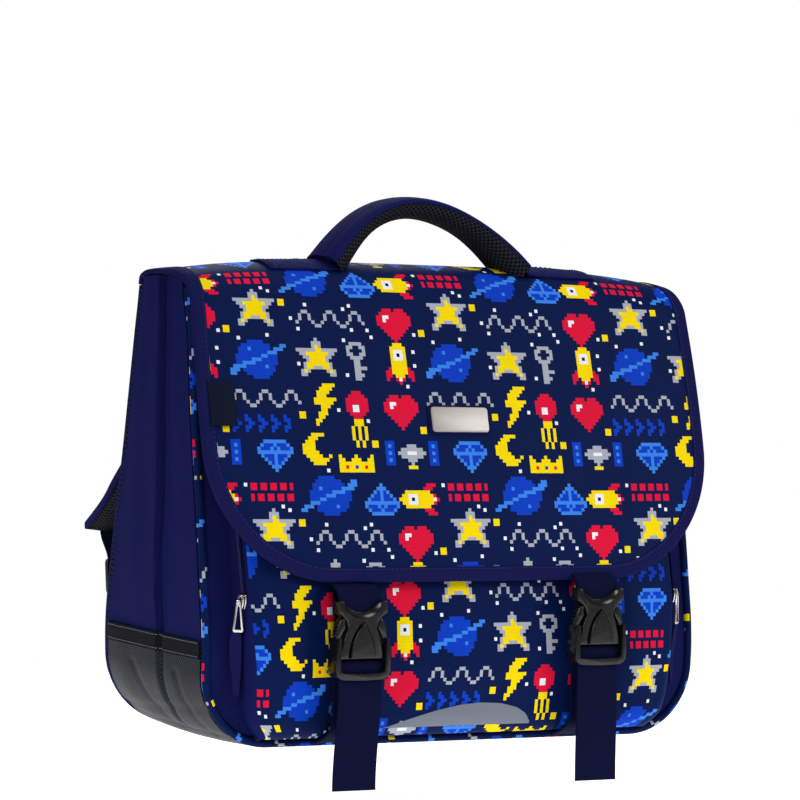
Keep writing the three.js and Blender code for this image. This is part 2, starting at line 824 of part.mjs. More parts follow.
// The lower half: a frame round the webbing, and two arms whose buttons fill the waist
function buckleMale(middle) {
  const outer = lockWidth / 2;
  const mouth = buckleMouth / 2 + 0.5;
  const frame = new THREE.Shape();
  frame.moveTo(-outer + 4, buckleBottom);
  frame.lineTo(outer - 4, buckleBottom);
  frame.quadraticCurveTo(outer, buckleBottom, outer, buckleBottom + 5);
  frame.lineTo(outer, buckleBottom + 18);
  frame.lineTo(outer - 1.5, buckleBottom + 27);
  frame.lineTo(mouth, buckleBottom + 27);
  frame.lineTo(mouth, buckleBottom + 13);
  frame.lineTo(-mouth, buckleBottom + 13);
  frame.lineTo(-mouth, buckleBottom + 27);
  frame.lineTo(-outer + 1.5, buckleBottom + 27);
  frame.lineTo(-outer, buckleBottom + 18);
  frame.lineTo(-outer, buckleBottom + 5);
  frame.quadraticCurveTo(-outer, buckleBottom, -outer + 4, buckleBottom);
  let solid = asSolid(plateFrom(frame, buckleBack, buckleFront - 2));
  const slotHalf = webbingWidth / 2 + 0.6;
  const slot = block([-slotHalf, buckleFront - 3, buckleBottom + 4], [slotHalf, buckleBack + 1, buckleBottom + 14]);
  solid = solid.subtract(asSolid(slot));
  const behindBar = block(
    [-slotHalf, buckleFront + 1.4, buckleBottom - 1],
    [slotHalf, buckleBack + 1, buckleBottom + 5],
  );
  solid = solid.subtract(asSolid(behindBar));
  const bar = block(
    [-outer + 1, barMiddle[0] - lockBar / 2, barMiddle[1] - lockBar / 2],
    [outer - 1, barMiddle[0] + lockBar / 2, barMiddle[1] + lockBar / 2],
  );
  solid = solid.add(asSolid(bar));
  for (const sign of [-1, 1]) {
    const button = new THREE.Shape();
    const inner = buckleWaist / 2 + 2;
    button.moveTo(sign * (mouth + 0.2), buckleBottom + 26);
    button.lineTo(sign * (outer - 1.6), buckleBottom + 26);
    button.lineTo(sign * 18, buckleBottom + 34);
    button.lineTo(sign * 15.5, buckleBottom + 41);
    button.lineTo(sign * inner, buckleBottom + 40);
    button.lineTo(sign * (inner + 0.6), buckleBottom + 34);
    const arm = plateFrom(button, buckleBack - 2, buckleFront + 2);
    solid = solid.add(asSolid(arm));
  }
  return asGeometry(solid).translate(middle, 0, 0);
}

// The anchored leg rises over the pocket to the lock, folds over its bar and hangs down as the tail
function closingStrap(middle) {
  const fold = lockBar / 2 + clearance + webbingThickness / 2 + 0.7;
  const legBack = barMiddle[0] + fold;
  const tailY = barMiddle[0] - fold;
  const line = [
    [-pipingWidth / 2 - 1.6, 3],
    [-13, 5.5],
    [-pocketReach * 1.14 - 0.6, 14],
    [-pocketReach * 1.14 - 2.2, 24],
    [-pocketReach * 1.14 - 1.9, 40],
    [legBack, barMiddle[1] - 4],
  ];
  for (const angle of steps(6, 0, Math.PI)) {
    line.push([barMiddle[0] + fold * Math.cos(angle), barMiddle[1] + fold * Math.sin(angle)]);
  }
  line.push([tailY, buckleBottom + 2], [tailY - 1, buckleBottom - 12]);
  line.push([tailY - tailReach * 0.6, (buckleBottom + tailEnd) / 2], [tailY - tailReach, tailEnd]);
  const loose = (line.length - 4) / (line.length - 1);
  const sway = (share) => (tailSway * Math.max(0, share - loose)) / (1 - loose);
  return webbing(line, middle, webbingWidth, webbingThickness, sway);
}

for (const { side, sign } of sides) {
  const middle = sign * strapPlace;
  add(`flap_strap_${side}`, flapStrap(sign), 'webbing');
  add(`buckle_female_${side}`, buckleFemale(middle), 'acetal');
  add(`buckle_male_${side}`, buckleMale(middle), 'acetal');
  add(`closing_strap_${side}`, closingStrap(middle), 'webbing');
}

// Carry handle: a padded arch in two halves, with flat ends sewn on the flap

const gripHeight = bodyHeight + flapRise + handleRise - handleThickness / 2;

// How far along the flap, from its back seam, a depth on top of the bag lies
function flapAlongDepth(y) {
  let low = flapTopLength * 0.2;
  let high = flapTopLength;
  for (let i = 0; i < 40; i += 1) {
    const middle = (low + high) / 2;
    if (flapAt(0, middle, 0).y > y) low = middle;
    else high = middle;
  }
  return low;
}

function handleLine(share) {
  const x = (handleSpan / 2) * -Math.cos(Math.PI * share);
  const rise = Math.sin(Math.PI * share) ** 1.5;
  const footZ = bodyHeight + flapRise - 2;
  const lean = handleLean * rise ** 1.5;
  return new THREE.Vector3(x + handleSkew * rise, handlePlace + lean, footZ + (gripHeight - footZ) * rise);
}

// A half section: from is the angle where it starts, round the arch's outer or inner side
function handleHalf(outerHalf) {
  const shares = [-1, ...steps(14), 2];
  const rings = shares.map((station) => {
    const share = THREE.MathUtils.clamp(station, 0, 1);
    const middle = handleLine(share);
    const way = handleLine(Math.min(share + 0.01, 1)).sub(handleLine(Math.max(share - 0.01, 0))).normalize();
    middle.addScaledVector(way, (station - share) * handleThickness);
    const out = new THREE.Vector3(-way.z, 0, way.x);
    const half = handleThickness / 2;
    const sideDeep = handleDepth / 2;
    const lift = outerHalf ? clearance / 2 : -clearance / 2;
    const profile = outerHalf
      ? [[-1, 0], [1, 0], [0.97, 0.45], [0.6, 0.9], [0, 1], [-0.6, 0.9], [-0.97, 0.45]]
      : [[1, 0], [-1, 0], [-0.97, -0.45], [-0.6, -0.9], [0, -1], [0.6, -0.9], [0.97, -0.45]];
    return profile.map(([deep, up]) => {
      const p = middle.clone().addScaledVector(out, up * half + lift);
      p.y += deep * sideDeep;
      return p;
    });
  });
  return asGeometry(asSolid(skinned(rings)).subtract(asSolid(flapUnderHandle())));
}

// All that lies under the top of the flap, with the clearance that the handle's feet keep
function flapUnderHandle() {
  const columns = steps(12, -handleSpan, handleSpan);
  const rows = steps(10, flapTopLength * 0.15, flapTopLength * 1.05);
  const above = (x, along) => flapAt(x, along, clearance);
  const below = (x, along) => flapAt(x, along, 0).setZ(bodyHeight - 4 * handleThickness);
  return sheet(columns, rows, above, below);
}

function handleEnd(sign) {
  const inner = handleSpan / 2 + handleThickness / 2 + 4;
  const columns = steps(4, inner, inner + handleEndLength);
  const reach = handleDepth / 2 - 2;
  const rows = steps(3, -reach, reach);
  const along = flapAlongDepth(handlePlace);
  const face = (lift) => (x, deep) => flapAt(sign * x, along + deep, lift);
  return sheet(columns, rows, face(clearance + handleEndThickness), face(clearance));
}

add('handle_cover', handleHalf(true), 'navyCloth');
add('handle_mesh', handleHalf(false), 'mesh');
for (const { side, sign } of sides) add(`handle_end_${side}`, handleEnd(sign), 'navyCloth');

// Shoulder straps: a padded band, then webbing with an adjuster down to the lower corner

function padLine(sign) {
  const points = padRoute.map(({ out, back, height }) => {
    const z = height * bodyHeight;
    const seat = backAt(z - padWidth / 2) + clearance + padThickness / 2 + 1;
    const y = Math.max(seat, baseDepth + back * padThickness);
    return new THREE.Vector3(sign * out * bodyWidth, y, z);
  });
  return new THREE.CatmullRomCurve3(points, false, 'centripetal');
}

function shoulderPad(sign) {
  const curve = padLine(sign);
  const rings = steps(12).map((share) => {
    const middle = curve.getPointAt(share);
    const way = curve.getTangentAt(share);
    const back = new THREE.Vector3(0, 1, 0);
    const width = new THREE.Vector3().crossVectors(way, back).normalize();
    const out = new THREE.Vector3().crossVectors(width, way).normalize();
    const half = padWidth / 2;
    const thick = padThickness / 2;
    const profile = [[-1, 0], [-0.9, 0.8], [-0.5, 1], [0.5, 1], [0.9, 0.8], [1, 0]];
    profile.push([0.9, -0.8], [0.5, -1], [-0.5, -1], [-0.9, -0.8]);
    return profile.map(([a, b]) =>
      middle.clone().addScaledVector(width, a * half).addScaledVector(out, b * thick),
    );
  });
  return skinned(rings);
}

const webStart = padLine(1).getPointAt(1);
const webSeat = clearance * 4;
const adjusterPlace = { y: webStart.y - 1.5 * padThickness, z: bodyHeight * 0.32 };

function shoulderWeb() {
  const way = padLine(1).getTangentAt(1);
  const start = webStart.clone().addScaledVector(way, webSeat);
  const under = webStart.clone().addScaledVector(way, webSeat + 5);
  return [
    [start.y, start.z],
    [under.y, under.z],
    [adjusterPlace.y + 4, adjusterPlace.z + adjusterSize.tall / 2],
    [adjusterPlace.y, adjusterPlace.z - adjusterSize.tall / 2],
    [baseDepth + padThickness, bodyHeight * 0.2],
    [baseDepth + 2.2, bodyHeight * 0.11],
    [backAt(bodyHeight * 0.06) + 1.4, bodyHeight * 0.06],
  ];
}

for (const { side, sign } of sides) {
  const middle = sign * padRoute[padRoute.length - 1].out * bodyWidth;
  add(`shoulder_pad_${side}`, shoulderPad(sign), 'printedCloth');
  add(`shoulder_web_${side}`, webbing(shoulderWeb(), middle, shoulderWebWidth, webbingThickness), 'webbing');
  const line = shoulderWeb();
  const [over, below] = line.slice(2, 4);
  const lean = Math.atan2(over[0] - below[0], over[1] - below[1]);
  const adjuster = new THREE.BoxGeometry(adjusterSize.across, adjusterSize.deep, adjusterSize.tall);
  const place = new THREE.Group();
  const lift = webbingThickness / 2 + adjusterSize.deep / 2 + clearance + 0.2;
  place.position.set(middle, (over[0] + below[0]) / 2 + lift, (over[1] + below[1]) / 2);
  place.rotation.x = -lean;
  bag.add(place);
  add(`adjuster_${side}`, adjuster, 'acetal', place);
}

// The underside of the handle's crown is the part's origin
const model = new THREE.Group();
const gripUnderside = gripHeight - handleThickness / 2 - clearance / 2;
bag.position.set(-handleSkew, -handlePlace - handleLean, -gripUnderside);
model.add(bag);

export default model;
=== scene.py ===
import math

import bpy
import numpy as np
from mathutils import Matrix, Vector


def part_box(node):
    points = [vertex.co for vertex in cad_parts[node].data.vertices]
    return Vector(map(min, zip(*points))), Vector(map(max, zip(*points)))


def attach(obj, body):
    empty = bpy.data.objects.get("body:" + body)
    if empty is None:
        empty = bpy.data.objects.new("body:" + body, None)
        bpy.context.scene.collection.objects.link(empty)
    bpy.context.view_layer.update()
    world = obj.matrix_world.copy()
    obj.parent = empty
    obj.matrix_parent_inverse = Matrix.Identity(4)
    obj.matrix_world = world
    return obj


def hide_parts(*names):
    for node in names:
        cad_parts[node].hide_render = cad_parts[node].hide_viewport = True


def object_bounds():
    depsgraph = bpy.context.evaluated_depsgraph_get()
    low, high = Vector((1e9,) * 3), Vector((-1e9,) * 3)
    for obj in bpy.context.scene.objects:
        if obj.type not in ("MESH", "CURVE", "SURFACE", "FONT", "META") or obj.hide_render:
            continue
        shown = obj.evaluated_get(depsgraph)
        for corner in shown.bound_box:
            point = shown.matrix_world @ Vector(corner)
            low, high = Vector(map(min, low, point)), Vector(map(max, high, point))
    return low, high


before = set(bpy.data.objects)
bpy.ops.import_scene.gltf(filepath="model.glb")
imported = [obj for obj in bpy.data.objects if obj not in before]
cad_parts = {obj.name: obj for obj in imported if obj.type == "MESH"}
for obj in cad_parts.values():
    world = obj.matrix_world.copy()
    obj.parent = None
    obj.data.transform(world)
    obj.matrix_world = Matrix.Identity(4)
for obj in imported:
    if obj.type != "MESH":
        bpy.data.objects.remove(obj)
cad_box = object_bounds()

MM = 0.001

# Sizes of the shell
BODY_WIDTH = 386
HALF_WIDTH = BODY_WIDTH / 2
BODY_HEIGHT = 302
BASE_DEPTH = 152
TOP_SETBACK = 45
CORNER_RADIUS = 50
BOOT_HEIGHT = 71
BOOT_HEM = 12
PIPING_RADIUS = 2.75
CLOTH_WALL = 2
BOOT_WALL = 2.6
BACK_PADDING = 9
PLEAT_PLACE = 0.4
PLEAT_DEPTH = 13
PLEAT_MOUTH = 6.5
GUSSET_BULGE = 4
GAP = 0.3

# Sizes of the flap
FLAP_THICKNESS = 3
FLAP_RISE = 20
FLAP_HEM = 111
FLAP_REACH = 19
FLAP_FLARE = 5
EDGE_DROOP = 9
FLAP_CROWN = 5
FLAP_CORNER = 92
BINDING_WIDTH = 10

# Sizes of the pockets
POCKET_TOP = 196
POCKET_FOOT = 6.5
POCKET_DRAFT = 2.5
POCKET_GAP = 9
POCKET_REACH = 22
CENTRE_POCKET = 182
SIDE_POCKET = 70

# Sizes of the straps, buckles and handle
STRAP_PLACE = 97
WEBBING_WIDTH = 32
WEBBING_THICKNESS = 1.6
HANDLE_SPAN = 150
HANDLE_THICKNESS = 15
HANDLE_DEPTH = 36
HANDLE_PLACE = 59
HANDLE_LEAN = 15
HANDLE_SKEW = -6
HANDLE_END = 42
PAD_WIDTH = 56
PAD_THICKNESS = 12
SHOULDER_WEB = 25

# One printed pixel of the cloth
PIXEL = 2.4

# Columns: height as a share of BODY_HEIGHT, setback as a share of TOP_SETBACK
FRONT_PROFILE = [(0, 0), (0.24, 0), (0.47, 0.28), (0.71, 0.6), (0.92, 0.8), (1, 1)]
# Columns: height as a share of BODY_HEIGHT, depth as a share of BASE_DEPTH
BACK_PROFILE = [(0, 0.95), (0.24, 1), (0.42, 0.95), (0.63, 0.87), (0.94, 0.775), (1, 0.75)]
# Columns: depth as a share of BASE_DEPTH, rise over the body as a share of FLAP_RISE
FLAP_OVER_TOP = [(0.748, 0.05), (0.738, 0.42), (0.688, 0.7), (0.561, 0.94)]
FLAP_OVER_TOP += [(0.408, 1), (0.277, 0.68), (0.204, 0.1)]
# Columns: fall as a share of the way to the hem, reach as a share of FLAP_REACH
FLAP_DOWN_FRONT = [(0.11, -1.18), (0.46, -0.16), (0.74, 0.52), (1, 1)]
# Columns: height as a share of POCKET_TOP, reach as a share of POCKET_REACH
POCKET_PROFILE = [(0, 0.36), (0.08, 0.8), (0.28, 0.97), (0.48, 0.74), (0.56, 0.58), (0.78, 0.04), (1, -0.44)]
# Columns: height as a share of POCKET_TOP, width as a share of SIDE_POCKET
POCKET_EDGE = [(0.03, 0.7), (0.07, 0.86), (0.14, 0.92), (0.5, 1), (1, 1)]
# Columns: place across the pocket's face, and its fullness
POCKET_FULLNESS = [(0, 1), (0.12, 1.06), (0.5, 1.14), (0.88, 1.06), (1, 1)]
# Columns: out as a share of BODY_WIDTH, pad thicknesses behind the foot of the back, height
PAD_ROUTE = [(46 / BODY_WIDTH, -4, 0.76), (0.2, -4, 0.86), (0.3, -4, 0.9), (0.388, -4, 0.86)]
PAD_ROUTE += [(0.403, -3, 0.76), (0.39, -0.6, 0.63), (0.395, 2.1, 0.51), (0.402, 5.1, 0.425)]

piping_low, piping_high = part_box("piping_front")
PIPING_MIDDLE = (piping_low[0] + piping_high[0]) / 2
ORIGIN = np.array([PIPING_MIDDLE, piping_low[1] + PIPING_RADIUS * MM, piping_low[2]])


def place(points):
    return np.asarray(points, dtype=float) * MM + ORIGIN


def from_table(table, at, soften=0.0):
    columns = np.array(table, dtype=float)
    offsets = np.linspace(-soften, soften, 9)
    looked_up = [np.interp(np.asarray(at) + offset, columns[:, 0], columns[:, 1]) for offset in offsets]
    return np.mean(looked_up, axis=0)


def front_at(z):
    return TOP_SETBACK * from_table(FRONT_PROFILE, np.asarray(z) / BODY_HEIGHT, 0.05)


def back_at(z):
    return BASE_DEPTH * from_table(BACK_PROFILE, np.asarray(z) / BODY_HEIGHT, 0.05)


def bump(at, middle, width):
    return np.exp(-(((np.asarray(at) - middle) / width) ** 2))


def smooth_step(low, high, at):
    share = np.clip((np.asarray(at) - low) / (high - low), 0, 1)
    return share * share * (3 - 2 * share)


# A smooth curve through points, spaced as a tailor's flexible rule would lie
def smooth_curve(points, per_span=60):
    points = np.array(points, dtype=float)
    first = 2 * points[0] - points[1]
    last = 2 * points[-1] - points[-2]
    points = np.vstack([first, points, last])
    curve = []
    for before, start, end, after in zip(points, points[1:], points[2:], points[3:]):
        gap_before = np.linalg.norm(start - before) ** 0.5
        gap = np.linalg.norm(end - start) ** 0.5
        gap_after = np.linalg.norm(after - end) ** 0.5
        leave = (start - before) / gap_before - (end - before) / (gap_before + gap) + (end - start) / gap
        arrive = (end - start) / gap - (after - start) / (gap + gap_after) + (after - end) / gap_after
        leave = leave * gap
        arrive = arrive * gap
        share = np.linspace(0, 1, per_span, endpoint=False)[:, None]
        squared = -3 * start + 3 * end - 2 * leave - arrive
        cubed = 2 * start - 2 * end + leave + arrive
        curve.append(start + leave * share + squared * share**2 + cubed * share**3)
    return np.vstack([*curve, points[-2]])


def unit(ways):
    return ways / np.linalg.norm(ways, axis=-1)[..., None]


def run_of(curve):
    return np.concatenate([[0], np.cumsum(np.linalg.norm(np.diff(curve, axis=0), axis=1))])


# Points of a curve at given runs along it, and the unit direction there
def along_curve(curve, at):
    run = run_of(curve)
    ways = unit(np.gradient(curve, run, axis=0))
    points, ways = (
        np.stack([np.interp(at, run, column) for column in columns.T], axis=-1) for columns in (curve, ways)
    )
    return points, ways


# The flap's middle line from the back seam, as depth and height
FLAP_CURVE = smooth_curve(
    [(depth * BASE_DEPTH, BODY_HEIGHT + rise * FLAP_RISE) for depth, rise in FLAP_OVER_TOP]
    + [
        (-reach * FLAP_REACH, BODY_HEIGHT - fall * (BODY_HEIGHT - FLAP_HEM))
        for fall, reach in FLAP_DOWN_FRONT
    ]
)
FLAP_LENGTH = run_of(FLAP_CURVE)[-1]
FLAP_TOP = FLAP_LENGTH * 0.36


def flap_at(x, along, lift=0.0):
    x, along, lift = np.broadcast_arrays(np.asarray(x, float), along, lift)
    point, way = along_curve(FLAP_CURVE, np.clip(along, 0, FLAP_LENGTH))
    out = np.minimum(np.abs(x) / HALF_WIDTH, 1.1)
    over_top = np.sin(np.pi * np.clip(along / FLAP_TOP, 0, 1))
    down_front = np.clip((along - FLAP_TOP) / (FLAP_LENGTH - FLAP_TOP), 0, 1)
    z = point[..., 1] - EDGE_DROOP * over_top * out**4
    y = point[..., 0] - FLAP_CROWN * down_front * (1 - out**2)
    return np.stack([x, y + way[..., 1] * lift, z - way[..., 0] * lift], axis=-1)


def flap_half_width(along):
    share = np.clip(np.asarray(along) / FLAP_LENGTH, 0, 1)
    return HALF_WIDTH + FLAP_FLARE * np.sin(np.pi * share**1.5)


# How far along the flap a height on its front, or a depth on its top, lies
def flap_along_height(z):
    runs = np.linspace(FLAP_TOP, FLAP_LENGTH, 400)
    heights = flap_at(0 * runs, runs)[:, 2]
    return float(np.interp(-z, -heights, runs))


def flap_along_depth(y):
    runs = np.linspace(FLAP_TOP * 0.2, FLAP_TOP, 300)
    depths = flap_at(0 * runs, runs)[:, 1]
    return float(np.interp(-y, -depths, runs))


# Helpers for making and finishing pieces


def deselect():
    bpy.ops.object.select_all(action="DESELECT")


def select_only(piece):
    deselect()
    piece.select_set(True)
    bpy.context.view_layer.objects.active = piece


def apply_modifier(piece, kind, **settings):
    select_only(piece)
    modifier = piece.modifiers.new(kind.title(), kind)
    for key, value in settings.items():
        setattr(modifier, key, value)
    bpy.ops.object.modifier_apply(modifier=modifier.name)


# Names a piece, says what it is made of and what carries it, and hides the nodes that it stands for
def finish_piece(piece, name, materials, slot, *nodes):
    piece.name = name
    piece.data.name = name
    piece.data.materials.clear()
    for material in materials if isinstance(materials, (list, tuple)) else [materials]:
        piece.data.materials.append(material)
    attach(piece, "root")
    if nodes:
        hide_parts(*nodes)
    return piece


def corners_of(piece):
    points = np.empty(len(piece.data.vertices) * 3)
    piece.data.vertices.foreach_get("co", points)
    return points.reshape(-1, 3)


def move_corners(piece, points):
    piece.data.vertices.foreach_set("co", np.asarray(points).ravel())
    piece.data.update()


# Runs one change over all the faces of a piece
def edit_faces(piece, change, **settings):
    select_only(piece)
    bpy.ops.object.mode_set(mode="EDIT")
    bpy.ops.mesh.select_all(action="SELECT")
    change(**settings)
    bpy.ops.object.mode_set(mode="OBJECT")


def face_outwards(piece):
    edit_faces(piece, bpy.ops.mesh.normals_make_consistent, inside=False)


# Corners of a piece in millimetres of the bag's own frame
def lying_at(piece):
    return (corners_of(piece) - ORIGIN) / MM


def shift(piece, *offset):
    move_corners(piece, corners_of(piece) + np.array(offset) * MM)


def ease_edges(piece, width, segments):
    apply_modifier(piece, "BEVEL", width=width * MM, segments=segments, limit_method="ANGLE")


def cut_away(piece, *cutters):
    for cutter in cutters:
        apply_modifier(piece, "BOOLEAN", operation="DIFFERENCE", object=cutter, solver="EXACT")
        bpy.data.objects.remove(cutter)


def joined(parts):
    deselect()
    for part in parts:
        part.select_set(True)
    bpy.context.view_layer.objects.active = parts[0]
    bpy.ops.object.join()
    return parts[0]


# A flat sheet of cells, bent in code: surface takes u and v from 0 to 1 and gives millimetres.
# flat is its cut size, which its UV map keeps in metres
def bent_grid(cells_u, cells_v, surface, flat, turned=False):
    deselect()
    bpy.ops.mesh.primitive_grid_add(x_subdivisions=cells_u, y_subdivisions=cells_v, size=2)
    piece = bpy.context.object
    lying = corners_of(piece)
    move_corners(piece, place(surface((lying[:, 0] + 1) / 2, (lying[:, 1] + 1) / 2)))
    layer = piece.data.uv_layers.active
    uv = np.empty(len(piece.data.loops) * 2)
    layer.data.foreach_get("uv", uv)
    layer.data.foreach_set("uv", (uv.reshape(-1, 2) * np.array(flat) * MM).ravel())
    if turned:
        edit_faces(piece, bpy.ops.mesh.flip_normals)
    return piece


# Middle of each face in the UV map, in millimetres
def face_places(piece):
    mesh = piece.data
    sides = np.empty(len(mesh.polygons), dtype=int)
    mesh.polygons.foreach_get("loop_total", sides)
    uv = np.empty(len(mesh.loops) * 2)
    mesh.uv_layers.active.data.foreach_get("uv", uv)
    first = np.concatenate([[0], np.cumsum(sides)[:-1]])
    return np.add.reduceat(uv.reshape(-1, 2) / MM, first, axis=0) / sides[:, None], sides


def drop_faces(piece, unwanted):
    select_only(piece)
    bpy.ops.object.mode_set(mode="EDIT")
    bpy.ops.mesh.select_mode(type="FACE")
    bpy.ops.mesh.select_all(action="DESELECT")
    bpy.ops.object.mode_set(mode="OBJECT")
    piece.data.polygons.foreach_set("select", unwanted)
    bpy.ops.object.mode_set(mode="EDIT")
    bpy.ops.mesh.delete(type="FACE")
    bpy.ops.object.mode_set(mode="OBJECT")


def shade_smooth(piece, degrees=40):
    select_only(piece)
    bpy.ops.object.shade_smooth_by_angle(angle=math.radians(degrees))


# Gives the cloth its thickness behind the face that is seen; inside is how many slots further
# the material of its back lies
def thicken(piece, wall, inside=0):
    rim = {"material_offset": inside, "material_offset_rim": inside}
    apply_modifier(piece, "SOLIDIFY", thickness=wall * MM, offset=-1, **rim)
    shade_smooth(piece)


# A sheet given its thickness and finished in one go
def cloth_piece(piece, wall, name, material, slot, *nodes):
    thicken(piece, wall)
    return finish_piece(piece, name, material, slot, *nodes)


def mesh_piece(points, faces, uv):
    mesh = bpy.data.meshes.new("cloth")
    mesh.from_pydata(place(points).tolist(), [], faces)
    mesh.uv_layers.new(name="UVMap").data.foreach_set("uv", (np.array(uv, dtype=float) * MM).ravel())
    piece = bpy.data.objects.new("cloth", mesh)
    bpy.context.collection.objects.link(piece)
    select_only(piece)
    return piece


# Skin over rings of points, each ring closed on itself, with an end face on the first and last
def skinned(rings):
    rings = np.asarray(rings)
    count, around = rings.shape[:2]
    length = run_of(rings.mean(1))
    girth = run_of(np.concatenate([rings[0], rings[0][:1]]))
    faces = []
    uv = []
    for k in range(count - 1):
        for i in range(around):
            here = k * around
            beside = (i + 1) % around
            faces.append((here + i, here + beside, here + around + beside, here + around + i))
            uv += [(girth[i], length[k]), (girth[i + 1], length[k])]
            uv += [(girth[i + 1], length[k + 1]), (girth[i], length[k + 1])]
    faces.append(tuple(range(around))[::-1])
    faces.append(tuple(range((count - 1) * around, count * around)))
    uv += [(0, 0)] * around * 2
    piece = mesh_piece(rings.reshape(-1, 3), faces, uv)
    face_outwards(piece)
    return piece


# A tube round a line, whose half width and half depth are given as vectors
def tube(centre, across, deep, sides):
    turns = np.linspace(0, 2 * math.pi, sides + 1)[:-1]
    return skinned(np.stack([centre + across * math.cos(a) + deep * math.sin(a) for a in turns], 1))


# A row of sewn stitches, each a short plump thread lying along the line
def stitches(name, line, material, slot, spacing=3.4, length=2.3, thread=0.34):
    line = np.asarray(line, dtype=float)
    run = run_of(line)
    at = np.arange(spacing / 2, run[-1], spacing)
    points, ways = along_curve(line, at)
    side = unit(np.cross(ways, [0.3, 0.2, 0.9]))
    other = np.cross(ways, side)
    # Columns: place along the stitch, thickness
    section = [(-0.5, 0.35), (-0.3, 1), (0.3, 1), (0.5, 0.35)]
    corners = 5
    angles = [2 * math.pi * k / corners for k in range(corners)]
    verts = []
    faces = []
    for i in range(len(at)):
        first = len(verts)
        for share, thick in section:
            for angle in angles:
                offset = side[i] * math.cos(angle) + other[i] * math.sin(angle)
                verts.append(points[i] + ways[i] * share * length + offset * thick * thread)
        for ring in range(len(section) - 1):
            for k in range(corners):
                here = first + ring * corners
                beside = (k + 1) % corners
                faces.append((here + k, here + beside, here + corners + beside, here + corners + k))
        last = first + (len(section) - 1) * corners
        faces.append(tuple(range(first, first + corners))[::-1])
        faces.append(tuple(range(last, last + corners)))
    piece = mesh_piece(verts, faces, [(0, 0)] * sum(len(face) for face in faces))
    face_outwards(piece)
    shade_smooth(piece, 80)
    return finish_piece(piece, name, material, slot)


def node(tree, kind, settings=None, links=None):
    made = tree.nodes.new(kind)
    for key, value in (settings or {}).items():
        if isinstance(key, int) or key in made.inputs:
            made.inputs[key].default_value = value
        else:
            setattr(made, key, value)
    for key, source in (links or {}).items():
        tree.links.new(source, made.inputs[key])
    return made


def new_material(name, **settings):
    material = bpy.data.materials.new(name)
    material.use_nodes = True
    shader = material.node_tree.nodes["Principled BSDF"]
    for key, value in settings.items():
        shader.inputs[key.replace("_", " ")].default_value = value
    return material, material.node_tree, shader


def srgb(code):
    channels = [int(code[i : i + 2], 16) / 255 for i in (1, 3, 5)]
    return [c / 12.92 if c <= 0.04045 else ((c + 0.055) / 1.055) ** 2.4 for c in channels]


def ink(code):
    return (*srgb(code), 1)


# The print: small pixel pictures on a dark ground, charted cell by cell as for a woven tile.
# Letters stand for the inks in INKS, and a dot is the ground.
INKS = {
    "y": "#ffe100",
    "r": "#e3143c",
    "b": "#0b3fc4",
    "c": "#3c86f0",
    "g": "#aeb2c0",
    "w": "#f2f5ff",
    "k": "#070b22",
}
GROUND = "#07194a"
CHARTS = {
    "rocket": """
.....y.....
....yyy....
...yyyyy...
...ywwwy...
...ywkwy...
...ywwwy...
...yyyyy...
...yyyyy...
..ryyyyyr..
.rryyyyyrr.
.rr.yyy.rr.
.r..rwr..r.
.....r.....
""",
    "planet": """
......bbbbb.......
....bbbbbbbbb...cc
...bbbcbbbbbb.ccc.
...bbbbbbbbbccc...
..bbbbbbbbccbbb...
..bbbbbcccbbbbb...
..bbccccbbbbbbb...
.ccccbbbbbbcbb....
ccc.bbbbbbbbbb....
cc...bbbbbbbb.....
.......bbbbb......
""",
    "star": """
......g......
.....ggg.....
.....gyg.....
ggggggyyggggg
.ggyyyyyyygg.
..ggyyyyygg..
...gyyyyyg...
..gyyyyyyyg..
..gyygggyyg..
.gyg.....gyg.
.gg.......gg.
""",
    "heart": """
..rrr.rrr..
.rrrrrrrrr.
rrwwrrrrrrr
rrwrrrrrrrr
rrrrrrrrrrr
.rrrrrrrrr.
..rrrrrrr..
...rrrrr...
....rrr....
.....r.....
""",
    "bolt": """
....yyyy
...yyyy.
..yyyy..
..yyy...
.yyyyyyy
.yyyyyy.
...yyy..
...yy...
..yyy...
..yy....
.yy.....
.y......
""",
    "gem": """
..ccccccc..
.cbbbcbbbc.
cbbbcbcbbbc
ccccccccccc
.cbbbcbbbc.
..cbbcbbc..
...cbcbc...
....ccc....
.....c.....
""",
    "key": """
.gggg.
gg..gg
g....g
gg..gg
.gggg.
..gg..
..gg..
..gggg
..gg..
..ggg.
..gg..
""",
    "comet": """
..........rrrr..
..yyyy...rrrrrr.
yy....yyrrwwrrrr
..yyyyyyrrwwrrrr
yy....yyrrrrrrrr
..yyyy...rrrrrr.
..........rrrr..
""",
    "moon": """
...yyyy..
..yyy....
.yyy.....
yyyy.....
yyyy.....
yyyyy....
.yyyyy..y
..yyyyyy.
...yyyy..
""",
    "satellite": """
bbb...........bbb
bcb....ggg....bcb
bbb..ggggggg..bbb
bcb.gggwwwggg.bcb
bbb..ggggggg..bbb
bcb....ggg....bcb
bbb.....g.....bbb
.......yyy.......
""",
    "crown": """
y....y....y
yy..yyy..yy
yyyyyyyyyyy
yyryybyyryy
yyyyyyyyyyy
""",
    "wave": """
..gg......gg......gg..
.g..g....g..g....g..g.
.g..g....g..g....g..g.
g....g..g....g..g....g
......gg......gg......
""",
    "steps": """
b...b...b...b...b.
bb..bb..bb..bb..bb
.bb..bb..bb..bb..b
bb..bb..bb..bb..bb
b...b...b...b...b.
""",
    "blocks": """
rr.rr.rr.rr.r
rr.rr.rr.rr.r
.............
r.rr.rr.rr.rr
r.rr.rr.rr.rr
""",
    "block": """
yy
yy
""",
}
TILE = 62
